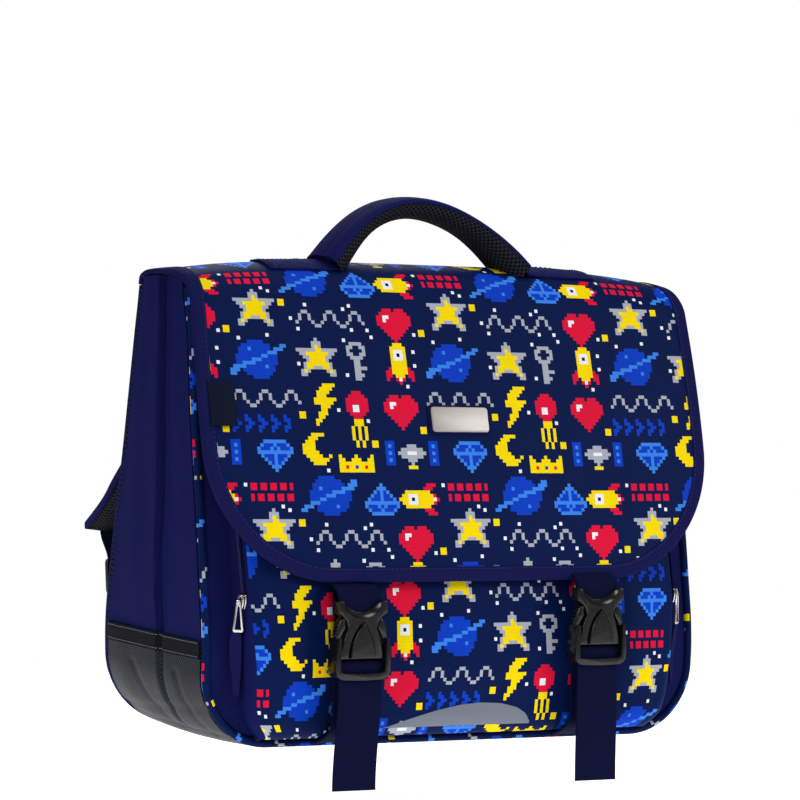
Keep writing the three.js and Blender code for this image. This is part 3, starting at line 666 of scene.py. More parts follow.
# Columns: picture, cell from the left, cell from the top, quarter turns
PRINT_LAYOUT = [
    ("rocket", 2, 1, 0),
    ("planet", 16, 2, 0),
    ("star", 37, 1, 0),
    ("key", 53, 2, 0),
    ("wave", 15, 16, 0),
    ("heart", 1, 17, 0),
    ("bolt", 40, 14, 0),
    ("comet", 51, 16, 1),
    ("steps", 15, 23, 0),
    ("satellite", 0, 30, 0),
    ("moon", 36, 28, 0),
    ("gem", 22, 30, 0),
    ("crown", 47, 34, 0),
    ("rocket", 3, 41, 1),
    ("blocks", 19, 42, 0),
    ("planet", 34, 40, 2),
    ("star", 19, 49, 0),
    ("gem", 54, 42, 2),
    ("wave", 38, 55, 0),
    ("heart", 2, 54, 0),
    ("block", 12, 26, 0),
    ("block", 36, 22, 0),
    ("block", 58, 30, 0),
    ("block", 33, 52, 0),
    ("block", 15, 60, 0),
]
PRINT_DOTS = 70


# The tile as linear colours, first row at the top
def print_tile():
    tile = np.full((TILE, TILE), ".", dtype="<U1")
    for name, column, row, turns in PRINT_LAYOUT:
        chart = np.rot90(np.array([list(line) for line in CHARTS[name].split()]), turns)
        for (down, across), letter in np.ndenumerate(chart):
            if letter != ".":
                tile[(row + down) % TILE, (column + across) % TILE] = letter
    scatter = np.random.default_rng(11)
    for row, column in scatter.integers(0, TILE, (PRINT_DOTS, 2)):
        around = [tile[(row + i) % TILE, (column + j) % TILE] for i in (-1, 0, 1) for j in (-1, 0, 1)]
        if set(around) == {"."}:
            tile[row, column] = "w"
    colours = np.empty((TILE, TILE, 4))
    for key in ".ygrbcwk":
        colours[tile == key] = (*srgb(INKS.get(key, GROUND)), 1)
    return colours


PRINT = print_tile()


# Cell by cell colours from the tile, kept on the mesh as the attribute "print". The cells
# are counted in the cut cloth, whose height is given where the print's top is at its far end
def print_cells(piece, start, cell=PIXEL, height=None):
    places, sides = face_places(piece)
    column = (places[:, 0] / PIXEL).astype(int)
    row = ((places[:, 1] if height is None else height - places[:, 1]) / cell).astype(int)
    colours = PRINT[(row + start[1]) % TILE, (column + start[0]) % TILE]
    layer = piece.data.color_attributes.new("print", "FLOAT_COLOR", "CORNER")
    layer.data.foreach_set("color", np.repeat(colours, sides, axis=0).ravel())
    return places


# Materials. A band of Blender's wave texture is 2 pi / 20 wide at scale 1
WAVE = 2 * math.pi / 20
MULTIPLY = {"data_type": "RGBA", "blend_type": "MULTIPLY", "Factor": 1}


# The cut cloth's own places, turned and stretched
def flat_places(tree, degrees, stretch=(1, 1, 1)):
    flat = node(tree, "ShaderNodeUVMap")
    settings = {"Rotation": (0, 0, math.radians(degrees)), "Scale": stretch}
    return node(tree, "ShaderNodeMapping", settings, {"Vector": flat.outputs["UV"]}).outputs["Vector"]


# Cloudy noise in the object's own metres
def noise(tree, stretch=(1, 1, 1), **settings):
    where = node(tree, "ShaderNodeTexCoord")
    mapped = node(tree, "ShaderNodeMapping", {"Scale": stretch}, {"Vector": where.outputs["Object"]})
    marks = node(tree, "ShaderNodeTexNoise", settings, {"Vector": mapped.outputs["Vector"]})
    return marks.outputs["Fac"]


# A value between start and end, taken to lie between low and high
def ranged(tree, value, low, high, start=0.0, end=1.0):
    settings = {"From Min": start, "From Max": end, "To Min": low, "To Max": high}
    return node(tree, "ShaderNodeMapRange", settings, {"Value": value}).outputs["Result"]


def combined(tree, operation, first, second):
    links = {0: first, 1: second}
    return node(tree, "ShaderNodeMath", {"operation": operation}, links).outputs["Value"]


def relief_from(tree, shader, height, strength, distance):
    settings = {"Strength": strength, "Distance": distance * MM}
    raised = node(tree, "ShaderNodeBump", settings, {"Height": height})
    tree.links.new(raised.outputs["Normal"], shader.inputs["Normal"])


# Round spots in a square net and the two colours that they part, which paint the relief's shade and
# highlight; gives how far up their slope it is
def spots(tree, shader, spacing, stretch, edges, codes):
    settings = {"Scale": 1 / (spacing * MM), "Randomness": 0, "voronoi_dimensions": "2D"}
    net = node(tree, "ShaderNodeTexVoronoi", settings, {"Vector": flat_places(tree, 45, stretch)})
    share = ranged(tree, net.outputs["Distance"], 0, 1, *edges)
    settings = {"data_type": "RGBA", 6: ink(codes[0]), 7: ink(codes[1])}
    colour = node(tree, "ShaderNodeMix", settings, {0: share})
    tree.links.new(colour.outputs[2], shader.inputs["Base Color"])
    return share


# Warp and weft as two rows of bands, one thread apart, over a slow unevenness of the dye. The gaps between
# threads are painted darker, down to shadow (painted shade), and the thread tops a little lighter (painted
# highlight)
def woven(name, code, thread, relief, roughness, shadow=0.72, attribute=None, diagonal=False):
    material, tree, shader = new_material(name, Roughness=roughness, Specular_IOR_Level=0.04)
    turned = flat_places(tree, 38 if diagonal else 0)
    bands = {"Scale": WAVE / (thread * MM), "Distortion": 0.4}
    warp, weft = (
        node(tree, "ShaderNodeTexWave", {**bands, "bands_direction": way}, {"Vector": turned}).outputs["Fac"]
        for way in "XY"
    )
    threads = combined(tree, "MAXIMUM" if diagonal else "MULTIPLY", warp, weft)
    dye = ranged(tree, noise(tree, Scale=26, Detail=5, Roughness=0.6), 0.88, 1.12)
    # Painted shade in the thread gaps and painted highlight on the thread tops, times the dye's unevenness
    depth = combined(tree, "MULTIPLY", dye, ranged(tree, threads, shadow, 1.12))
    shade = node(tree, "ShaderNodeMix", MULTIPLY, {7: depth})
    if attribute:
        cells = node(tree, "ShaderNodeAttribute", {"attribute_name": attribute})
        tree.links.new(cells.outputs["Color"], shade.inputs[6])
    else:
        shade.inputs[6].default_value = ink(code)
    tree.links.new(shade.outputs[2], shader.inputs["Base Color"])
    relief_from(tree, shader, threads, 0.6, relief)
    return material

# Polyester oxford, piece dyed: a dull even navy whose threads are 0.4 mm, drawn at 0.9 mm to show
navy_cloth = woven("navy_oxford_cloth", "#151a55", 0.9, 0.14, 0.75)
# The same cloth printed by transfer before it is cut: crisp cells, ink with a slight shine
printed_cloth = woven("transfer_printed_cloth", GROUND, 0.9, 0.08, 0.55, 0.84, "print")
# Cotton-feel twill tape, folded round the edges: slanting ribs 1.1 mm apart
binding_tape = woven("twill_binding_tape", "#141749", 1.1, 0.15, 0.75, 0.7, None, True)
# The same tape folded over and pressed: flatter ribs, darker where it was ironed
folded_tag = woven("pressed_tape", "#10172c", 0.8, 0.08, 0.6, 0.8)
# Polypropylene webbing, woven thick: plump ribs 1.4 mm apart, matt, with painted shade in the gap between
belt_webbing = woven("polypropylene_webbing", "#0e1238", 1.4, 0.3, 0.75, 0.6)
# Spun polyester sewing thread, a little paler than the cloth it holds
navy_thread = woven("navy_sewing_thread", "#34386e", 0.5, 0.05, 0.6)
pale_thread = woven("grey_sewing_thread", "#7d8094", 0.5, 0.05, 0.6)
# Grosgrain tape over the boot's raw edge, near black and ribbed across
black_tape = woven("black_grosgrain_tape", "#15161d", 1.3, 0.2, 0.6)


# Cloth coated with black rubber and rolled over a dotted drum: satin, with raised points 2.2 mm apart, whose
# tops are painted lighter as a painted highlight
def dotted_rubber():
    material, tree, shader = new_material("rubber_coated_cloth", Specular_IOR_Level=0.14)
    # The raised points' lighter colour is a painted highlight over the black ground
    point = spots(tree, shader, 2.2, (1, 1, 1), (0.5, 0.2), ("#0c0e16", "#20232f"))
    uneven = ranged(tree, noise(tree, Scale=18, Detail=6), 0.34, 0.56)
    tree.links.new(uneven, shader.inputs["Roughness"])
    relief_from(tree, shader, point, 0.7, 0.22)
    return material


# Knitted spacer mesh: soft black, with round holes 3.2 mm apart that go down to shadow
def knitted_mesh():
    material, tree, shader = new_material("knitted_spacer_mesh", Roughness=0.85, Specular_IOR_Level=0.05)
    rim = spots(tree, shader, 3.2, (1, 1.25, 1), (0.22, 0.42), ("#040406", "#26272f"))
    relief_from(tree, shader, rim, 0.9, 0.8)
    return material


# A hard surface with a fine grain in its gloss: grain is its length, width and height in millimetres
def hard(name, code, roughness, grain, metallic=0.0, relief=0.02, spread=0.12):
    material, tree, shader = new_material(name, Metallic=metallic)
    shader.inputs["Base Color"].default_value = ink(code)
    marks = noise(tree, tuple(1 / (size * MM) for size in grain), Scale=1, Detail=4)
    gloss = ranged(tree, marks, max(roughness - spread, 0.05), roughness + spread)
    tree.links.new(gloss, shader.inputs["Roughness"])
    relief_from(tree, shader, marks, 0.5, relief)
    return material

rubber = dotted_rubber()
spacer_mesh = knitted_mesh()
# Acetal, injection moulded in a polished tool that has gone a little dull: deep black, soft highlights
acetal = hard("moulded_acetal", "#0b0b0e", 0.27, (6, 6, 6), 0.0, 0.004, 0.06)
# Zinc, die cast and nickel plated: bright and slightly warm, with tumbling marks
nickel = hard("nickel_plated_zinc", "#c9c6c4", 0.24, (1.5, 1.5, 1.5), 1.0)
# Stamped steel, nickel plated and brushed lengthwise: long fine streaks across the plate
brushed_nickel = hard("brushed_nickel_plate", "#aaa5a1", 0.5, (14, 0.4, 0.35), 1.0, 0.03)
# Glass-bead film: an even satin silver grey
bead_film = hard("glass_bead_film", "#6b7180", 0.5, (0.8, 0.8, 0.8), 0.25)


SIDES = ((-1, "left"), (1, "right"))


# The shell


def rounded_half_width(z, edge, foot):
    radius = CORNER_RADIUS - (HALF_WIDTH - edge)
    drop = np.clip((CORNER_RADIUS - z) / (CORNER_RADIUS - foot), 0, 1)
    return edge - radius * (1 - np.sqrt(1 - drop * drop))


# How far the front panel's edge lies inside the body's, under the piping
PANEL_INSET = 5.8


def front_panel():
    def surface(u, v):
        z = PANEL_INSET + (BODY_HEIGHT + 2 - PANEL_INSET) * v
        x = (2 * u - 1) * rounded_half_width(z, HALF_WIDTH - PANEL_INSET, PANEL_INSET)
        return np.stack([x, front_at(z), z], -1)

    piece = bent_grid(90, 90, surface, (374, 296))
    cloth_piece(piece, CLOTH_WALL, "front_panel_cloth", navy_cloth, "navy_cloth", "front_panel")


# How far the padding's seams lie before the back's face, and how far it puffs out between them
BACK_SEAM = 5.2
BACK_PUFF = 7.5


# The padded back: channels run down from the straps' seam and across the small of the back
def back_panel():
    def surface(u, v):
        z = GAP + (BODY_HEIGHT + 2 - 2 * GAP) * v
        across = 2 * u - 1
        x = across * rounded_half_width(z, HALF_WIDTH - GAP, GAP)
        upright = sum(bump(x, seam * HALF_WIDTH * (1.15 - 0.4 * v), 4.5) for seam in (-0.36, 0.36))
        level = sum(bump(z, height * BODY_HEIGHT, 4.5) for height in (0.36, 0.66))
        edge = np.minimum((1 - np.abs(across)) * HALF_WIDTH, np.minimum(z, BODY_HEIGHT - z))
        pad = smooth_step(0, 16, edge) * BACK_PUFF * (1 - np.minimum(upright + level, 1))
        return np.stack([x, back_at(z) - BACK_SEAM + pad, z], -1)

    piece = bent_grid(150, 120, surface, (384, 300), True)
    thicken(piece, 3.6)
    finish_piece(piece, "back_padding", spacer_mesh, "spacer_mesh", "back_panel")
    # Tape bound over the panel's cut edge
    x, z, turn = u_line(BODY_HEIGHT, 2.4).T
    centre = np.stack([x, back_at(z) - BACK_SEAM, z], -1)
    inward = np.stack([-np.cos(turn) * np.sign(x), 0 * x, np.sin(turn)], -1)
    trim = tube(centre, inward * 2.0, np.array([0, 5.4, 0]), 14)
    shade_smooth(trim)
    finish_piece(trim, "back_binding", binding_tape, "binding_tape")


# The U round the bag's foot, from the left side's height down, under the bag and up to the same
# height on the right, with its turn in each lower corner
def u_line(height, inset, spacing=4.0):
    straight = max(2, int((height - CORNER_RADIUS) / spacing) + 1)
    corner = int(CORNER_RADIUS * math.pi / 2 / spacing) + 1
    radius = CORNER_RADIUS - inset
    edge = HALF_WIDTH - CORNER_RADIUS
    left = [(-edge - radius, z, 0.0) for z in np.linspace(height, CORNER_RADIUS, straight, endpoint=False)]
    for turn in np.linspace(0, math.pi / 2, corner, endpoint=False):
        left.append((-edge - radius * math.cos(turn), CORNER_RADIUS - radius * math.sin(turn), turn))
    across = int(2 * edge / spacing)
    middle = [(x, CORNER_RADIUS - radius, math.pi / 2) for x in np.linspace(-edge, edge, across + 1)]
    right = [(-x, z, turn) for x, z, turn in reversed(left)]
    return np.array(left + middle + right)


# How far the side wall stands in from its edges: a deep fold between two soft swells
def gusset_pleat(depth, z):
    side_depth = back_at(z) - front_at(z)
    away = np.abs(depth - PLEAT_PLACE) * side_depth
    groove = PLEAT_DEPTH * np.maximum(0, 1 - (away / PLEAT_MOUTH) ** 2)
    lips = 1.6 * bump(away, PLEAT_MOUTH + 0.9, 1.1)
    return groove - lips - np.sin(np.pi * depth) * GUSSET_BULGE * 0.5


def side_y(depth, z):
    low = front_at(z) + PIPING_RADIUS + GAP
    high = back_at(z) - BACK_PADDING - GAP
    return low + (high - low) * depth


BOOT_LINE = u_line(BOOT_HEIGHT, 0, 2)
BOOT_RUN = run_of(BOOT_LINE[:, :2])


def boot_at(run, depth, lift=0.0):
    inner = u_line(BOOT_HEIGHT, 10, 2)
    inward = (inner[:, :2] - BOOT_LINE[:, :2]) / 10
    turn = np.interp(run, BOOT_RUN, BOOT_LINE[:, 2])
    pinch = np.where(turn > 0, np.maximum(0, 1 - turn / (math.pi / 3)) * 0.6, 0.7)
    # Two soft creases where the boot bends under the bag
    creases = 0.9 * bump(turn, 0.5 + 0.25 * depth, 0.07) + 0.7 * bump(turn, 1.05 - 0.2 * depth, 0.06)
    dimple = 0.8 * bump(depth, 0.72, 0.12) * bump(turn, 0.25, 0.25)
    # Curved folds that fan out from the pleat's foot
    fan = 0.8 * bump(depth, 0.72 - 0.25 * turn, 0.035) + 0.9 * bump(depth, 0.25 - 0.1 * turn, 0.03)
    swell = 1.6 * bump(depth, 0.84 - 0.1 * turn, 0.16) * bump(turn, 0.35, 0.5)
    side_depth = back_at(BOOT_HEIGHT) - front_at(BOOT_HEIGHT)
    away = np.abs(depth - PLEAT_PLACE) * side_depth
    fold = 7.5 * np.exp(-((away / 3.2) ** 2)) * pinch
    full = np.sin(np.pi * depth) * GUSSET_BULGE * 0.5
    inset = fold - full + creases + dimple + fan * (turn > 0) * (1 - turn / 1.6) - swell - lift
    x = np.interp(run, BOOT_RUN, BOOT_LINE[:, 0]) + np.interp(run, BOOT_RUN, inward[:, 0]) * inset
    z = np.interp(run, BOOT_RUN, BOOT_LINE[:, 1]) + np.interp(run, BOOT_RUN, inward[:, 1]) * inset
    return np.stack([x, side_y(depth, np.maximum(z, 0)), z], -1)


def base_boot():
    whole = BOOT_RUN[-1]
    piece = bent_grid(260, 90, lambda u, v: boot_at(u * whole, v), (whole, 145), True)
    cloth_piece(piece, BOOT_WALL, "boot_cloth", rubber, "rubberised_cloth", "base_boot")
    depth = np.linspace(0.01, 0.99, 160)
    for sign, side in SIDES:
        start = 0 if sign < 0 else whole - BOOT_HEM
        hem = bent_grid(8, 90, lambda u, v: boot_at(start + u * BOOT_HEM, v, 1.0), (BOOT_HEM, 145), True)
        cloth_piece(hem, 0.9, f"boot_hem_{side}", black_tape, "rubberised_cloth")
        for row, inset in (("upper", 1.4), ("lower", BOOT_HEM - 1.6)):
            run = 0 * depth + (inset if sign < 0 else whole - inset)
            sewn = boot_at(run, depth, 1.15)
            stitches(f"boot_stitches_{side}_{row}", sewn, pale_thread, "rubberised_cloth")


# Height of the flap's underside where it lies over the side wall at a depth
def under_flap(y):
    runs = np.linspace(0, FLAP_TOP * 1.15, 300)
    over = flap_at(HALF_WIDTH - 3 + 0 * runs, runs, -4.2)
    return np.interp(-np.asarray(y), -over[:, 1], over[:, 2])


def gusset(sign, side):
    def surface(u, v):
        top = under_flap(side_y(u, BODY_HEIGHT))
        z = BOOT_HEIGHT - 2 + (top - BOOT_HEIGHT + 2) * v
        tall = smooth_step(BOOT_HEIGHT, BOOT_HEIGHT + 30, z)
        # Slow ripples down the side, and the narrowing where the cloth is sewn into the boot
        ripple = 0.7 * np.sin(u * 17 + 1.3 * np.sin(z * 0.02)) * np.sin(np.pi * u) ** 0.5
        ripple += 0.6 * np.sin(z * 0.05 + u * 5) * np.sin(np.pi * u)
        pleat = gusset_pleat(u, z) * (0.7 + 0.3 * tall)
        x = sign * (HALF_WIDTH - pleat - GAP * (1 - tall) + ripple * tall * 0.8)
        return np.stack([x, side_y(u, z), z], -1)

    piece = bent_grid(170, 90, surface, (120, 235), sign < 0)
    cloth_piece(piece, CLOTH_WALL, f"gusset_{side}_cloth", navy_cloth, "navy_cloth", f"gusset_{side}")


# Printed piping round the front's edge, its print running along it
def piping():
    line = u_line(BODY_HEIGHT, PIPING_RADIUS, PIXEL)
    centre = np.stack([line[:, 0], front_at(line[:, 1]), line[:, 1]], -1)
    way = unit(np.gradient(centre, axis=0))
    forward = unit(np.cross(way, np.cross([0, -1, 0], way)))
    piece = tube(centre, PIPING_RADIUS * np.cross(way, forward), PIPING_RADIUS * forward, 16)
    print_cells(piece, (31, 0))
    shade_smooth(piece)
    finish_piece(piece, "piping_cloth", printed_cloth, "printed_cloth", "piping_front")


# The flap


# Distance from the flap's edge, laid flat: negative inside
def flap_outline(x, along):
    straight = FLAP_LENGTH - FLAP_CORNER
    edge = flap_half_width(np.minimum(along, straight))
    centre = edge - FLAP_CORNER
    in_corner = (along > straight) & (np.abs(x) > centre)
    round_corner = np.hypot(np.abs(x) - centre, along - straight) - FLAP_CORNER
    return np.where(in_corner, round_corner, np.maximum(np.abs(x) - edge, along - FLAP_LENGTH))


def flap_cloth():
    half = PIXEL * math.ceil((HALF_WIDTH + FLAP_FLARE) / PIXEL)
    rows = math.floor(FLAP_LENGTH / PIXEL)
    length = FLAP_LENGTH - 1
    columns = round(2 * half / PIXEL)

    def surface(u, v):
        return flap_at((2 * u - 1) * half, v * length)

    piece = bent_grid(columns, rows, surface, (2 * half, length), True)
    places, _ = face_places(piece)
    drop_faces(piece, flap_outline(places[:, 0] - half, places[:, 1]) > -3.6)
    print_cells(piece, (5, 8), length / rows)
    thicken(piece, FLAP_THICKNESS, 1)
    finish_piece(piece, "flap_cloth", [printed_cloth, navy_cloth], "printed_cloth", "flap")


# The flap's edge laid flat, from the back seam round to the back seam again, and its inward way
def flap_edge(spacing=3.0):
    straight = FLAP_LENGTH - FLAP_CORNER
    points = [(flap_half_width(along), along) for along in np.arange(0, straight, spacing)]
    centre = flap_half_width(straight) - FLAP_CORNER
    for turn in np.arange(0, math.pi / 2, spacing / FLAP_CORNER):
        points.append((centre + FLAP_CORNER * math.cos(turn), straight + FLAP_CORNER * math.sin(turn)))
    points += [(x, FLAP_LENGTH) for x in np.linspace(centre, 0, int(centre / spacing))]
    right = np.array(points)
    edge = np.vstack([right, right[::-1][1:] * [-1, 1]])
    way = unit(np.gradient(edge, axis=0))
    return edge, np.stack([-way[:, 1], way[:, 0]], -1)


def on_edge(inset, lift):
    edge, inward = flap_edge()
    flat = edge + inward * inset
    return flap_at(flat[:, 0], flat[:, 1], lift)


# Tape folded round the flap's edge and sewn through
def flap_binding():
    # Columns: inset from the edge, lift off the flap's outer face
    section = [(10, 0.15), (9.8, 0.75), (8.6, 0.6), (5, 0.95), (1.6, 0.75), (0.4, -0.1), (0, -1.5)]
    section += [(0.4, -2.9), (1.6, -3.7), (10, -3.7), (10, -3.2), (2.4, -3.1), (1.3, -1.5), (2.4, 0.1)]
    piece = skinned(np.stack([on_edge(inset, lift) for inset, lift in section], 1))
    shade_smooth(piece, 50)
    finish_piece(piece, "flap_binding_tape", binding_tape, "binding_tape", "flap_binding")
    stitches("binding_stitches", on_edge(8.5, 0.72), navy_thread, "binding_tape")


# A piece laid on the flap's front: middle x and height of its middle
def on_flap_front(x, z, across, down, lift=0.0):
    return flap_at(x + across, flap_along_height(z) + down, lift)


PLATE_WIDTH = 44.6
PLATE_HEIGHT = 17.5
PLATE_THICKNESS = 1.2
PLATE_X = -3
PLATE_Z = 218


# A rectangle's outline with round corners, anticlockwise
def rounded_rectangle(width, height, radius, steps=6):
    points = []
    for quarter, (sx, sz) in enumerate(((1, 1), (-1, 1), (-1, -1), (1, -1))):
        for turn in np.linspace(quarter, quarter + 1, steps) * math.pi / 2:
            x = sx * (width / 2 - radius) + radius * math.cos(turn)
            points.append((x, sz * (height / 2 - radius) + radius * math.sin(turn)))
    return points


# A flat shape cut in the x, z plane with its back at one y and its front nearer, edges eased
def cut_shape(outline, back, front, ease=0.8, segments=3):
    deselect()
    bpy.ops.mesh.primitive_circle_add(vertices=len(outline), fill_type="NGON")
    piece = bpy.context.object
    points = np.array([(x, back, z) for x, z in outline])
    move_corners(piece, place(points))
    forward = {"value": (0, (front - back) * MM, 0)}
    edit_faces(piece, bpy.ops.mesh.extrude_region_move, TRANSFORM_OT_translate=forward)
    face_outwards(piece)
    if ease:
        ease_edges(piece, ease, segments)
    return piece


# Turns a shape cut flat round the flap's middle so that it lies on the flap's front
def lay_on_flap(piece, x, z, lift):
    middle = on_flap_front(x, z, 0, 0, lift)
    above = on_flap_front(x, z, 0, -5)
    below = on_flap_front(x, z, 0, 5)
    down = unit(below - above)
    across = np.array([1.0, 0, 0])
    out = np.cross(across, down)
    out = out if out[1] < 0 else -out
    flat = lying_at(piece)
    move_corners(piece, place(middle + flat[:, :1] * across - flat[:, 1:2] * out - flat[:, 2:] * down))
    face_outwards(piece)


def plate():
    # Columns: cut size over the plate's, corner, thickness, easing, lift, name, material, slot, node
    layers = [
        (3, 2.2, 0.8, 0.3, 0.35, "plate_cloth", binding_tape, "binding_tape", "plate_backing"),
        (0, 2.4, PLATE_THICKNESS, 0.45, 1.4, "plate_metal", brushed_nickel, "nickel_plate", "plate"),
    ]
    for over, corner, thick, ease, lift, *names in layers:
        outline = rounded_rectangle(PLATE_WIDTH + over, PLATE_HEIGHT + over, corner)
        layer = cut_shape(outline, 0, -thick, ease)
        lay_on_flap(layer, PLATE_X, PLATE_Z, lift)
        shade_smooth(layer)
        finish_piece(layer, *names)


def flap_tag():
    top = flap_along_height(241)
    left = -(flap_half_width(top) - BINDING_WIDTH + 3.5)

    def surface(u, v):
        curl = 0.5 * np.sin(np.pi * u) + 1.2 * v**3
        return flap_at(left + 19 * u, top + 30 * v, 1.5 + curl)

    piece = bent_grid(16, 24, surface, (20, 30), True)
    cloth_piece(piece, 0.8, "tag_cloth", folded_tag, "binding_tape", "flap_tag")


# The pockets


def pocket_face_at(z):
    return -POCKET_REACH * from_table(POCKET_PROFILE, np.asarray(z) / POCKET_TOP, 0.03)


# Across a box with round edges, walls first and last: place across and depth as a share
POCKET_WALL = 26
POCKET_ROUND = 7


def box_section(run, width):
    arc = POCKET_ROUND * math.pi / 2
    straight = POCKET_WALL - POCKET_ROUND
    half = straight + arc + (width / 2 - POCKET_ROUND)
    near = np.minimum(run, 2 * half - run)
    turn = np.clip((near - straight) / POCKET_ROUND, 0, math.pi / 2)
    deep = np.minimum(near, straight) + POCKET_ROUND * np.sin(turn)
    across = POCKET_ROUND * (1 - np.cos(turn)) + np.maximum(near - straight - arc, 0)
    return np.where(run <= half, across, width - across), np.minimum(deep / POCKET_WALL, 1)


def box_run(width):
    return 2 * (POCKET_WALL - POCKET_ROUND + POCKET_ROUND * math.pi / 2) + width - 2 * POCKET_ROUND


# The pocket's soft dents: middle across and up, half width, half height and depth
POCKET_DENTS = [(0.2, 0.3, 0.12, 0.2, 1.2), (0.7, 0.42, 0.15, 0.1, 1.0), (0.45, 0.12, 0.2, 0.06, 1.4)]


def pocket_dents(across, up):
    return sum(d * bump(across, a, w) * bump(up, b, h) for a, b, w, h, d in POCKET_DENTS)


def pocket(name, inner, outer, print_start):
    is_side = inner * outer > 0
    low = min(inner, outer)
    high = max(inner, outer)
    width = high - low
    height = POCKET_TOP - POCKET_FOOT
    across_run = box_run(width)
    up_run = box_run(height)

    def surface(u, v):
        x_in, deep = box_section(u * across_run, width)
        up, deep_up = box_section(v * up_run, height)
        z = POCKET_FOOT + up
        share = x_in / width
        taper = from_table(POCKET_EDGE, z / POCKET_TOP, 0.03) if is_side else 1.0
        left = high + (low - high) * taper if is_side and low < 0 else low + 0 * z
        right = low + (high - low) * taper if is_side and high > 0 else high + 0 * z
        bulge = deep * deep_up
        draft = POCKET_DRAFT * smooth_step(0.3, 1, bulge)
        x = left + draft + (right - left - 2 * draft) * share
        back = front_at(z) - GAP
        fullness = from_table(POCKET_FULLNESS, share, 0.08)
        dents = pocket_dents(share, up / height) * bulge
        y = back + (pocket_face_at(z) - back) * bulge * fullness + dents
        return np.stack([x, y, z], -1)

    cells = (round(across_run / PIXEL), round(up_run / PIXEL))
    piece = bent_grid(*cells, surface, (across_run, up_run))
    wall = POCKET_WALL - 3
    places = print_cells(piece, print_start, height=up_run)
    inside_wall = (places[:, 0] < wall) | (places[:, 0] > across_run - wall)
    inside_wall |= places[:, 1] > up_run - wall
    piece.data.materials.append(printed_cloth)
    piece.data.materials.append(navy_cloth)
    piece.data.polygons.foreach_set("material_index", inside_wall.astype(np.int32))
    thicken(piece, CLOTH_WALL, 1)
    kept = np.empty(len(piece.data.polygons), dtype=np.int32)
    piece.data.polygons.foreach_get("material_index", kept)
    finish_piece(piece, f"{name}_cloth", [printed_cloth, navy_cloth], "printed_cloth", name)
    piece.data.polygons.foreach_set("material_index", np.minimum(kept, 1))


# How far out a side pocket's outer wall stands at a height and a depth
def pocket_wall_at(z, y):
    back = front_at(z) - GAP
    forward = np.clip((back - y) / (back - pocket_face_at(z)), 0, 1)
    taper = from_table(POCKET_EDGE, np.asarray(z) / POCKET_TOP, 0.03)
    return CENTRE_POCKET / 2 + POCKET_GAP + SIDE_POCKET * taper - POCKET_DRAFT * forward


ZIP_SLIDER = 98
ZIP_INSET = 5.5
ZIP_WIDTH = 6
TAB_LENGTH = 44


def zip_fastener(sign, side):
    foot = ZIP_SLIDER + 5
    top = POCKET_TOP - 2 * POCKET_DRAFT

    def on_wall(y, z, lift):
        return np.stack([sign * (pocket_wall_at(z, y) + lift), y, z], -1)

    def surface(u, v):
        z = foot + (top - foot) * v
        return on_wall(pocket_face_at(z) + ZIP_INSET + (u - 0.5) * ZIP_WIDTH, z, 1.0)

    tape = bent_grid(6, 40, surface, (ZIP_WIDTH, top - foot), sign < 0)
    cloth_piece(tape, 0.7, f"zip_tape_{side}", belt_webbing, "webbing", f"zip_{side}")
    line = np.linspace(foot, top, 60)
    coil = on_wall(pocket_face_at(line) + ZIP_INSET, line, 1.2)
    for name, aside in (("front", -0.8), ("back", 0.8)):
        teeth = coil + np.array([0, aside, 0])
        stitches(f"zip_coil_{side}_{name}", teeth, navy_thread, "webbing", 1.5, 1.3, 0.7)


# Stands a shape cut in the x, z plane on a side pocket's outer wall, turned about an upright line
def stand_on_wall(piece, sign, out, y, z, turn=0.0):
    flat = lying_at(piece)
    along = flat[:, 0] * math.cos(turn) + flat[:, 1] * math.sin(turn)
    proud = -flat[:, 1] * math.cos(turn) + flat[:, 0] * math.sin(turn)
    move_corners(piece, place(np.stack([sign * (out + proud), y - along, z + flat[:, 2]], -1)))
    face_outwards(piece)
    shade_smooth(piece, 35)


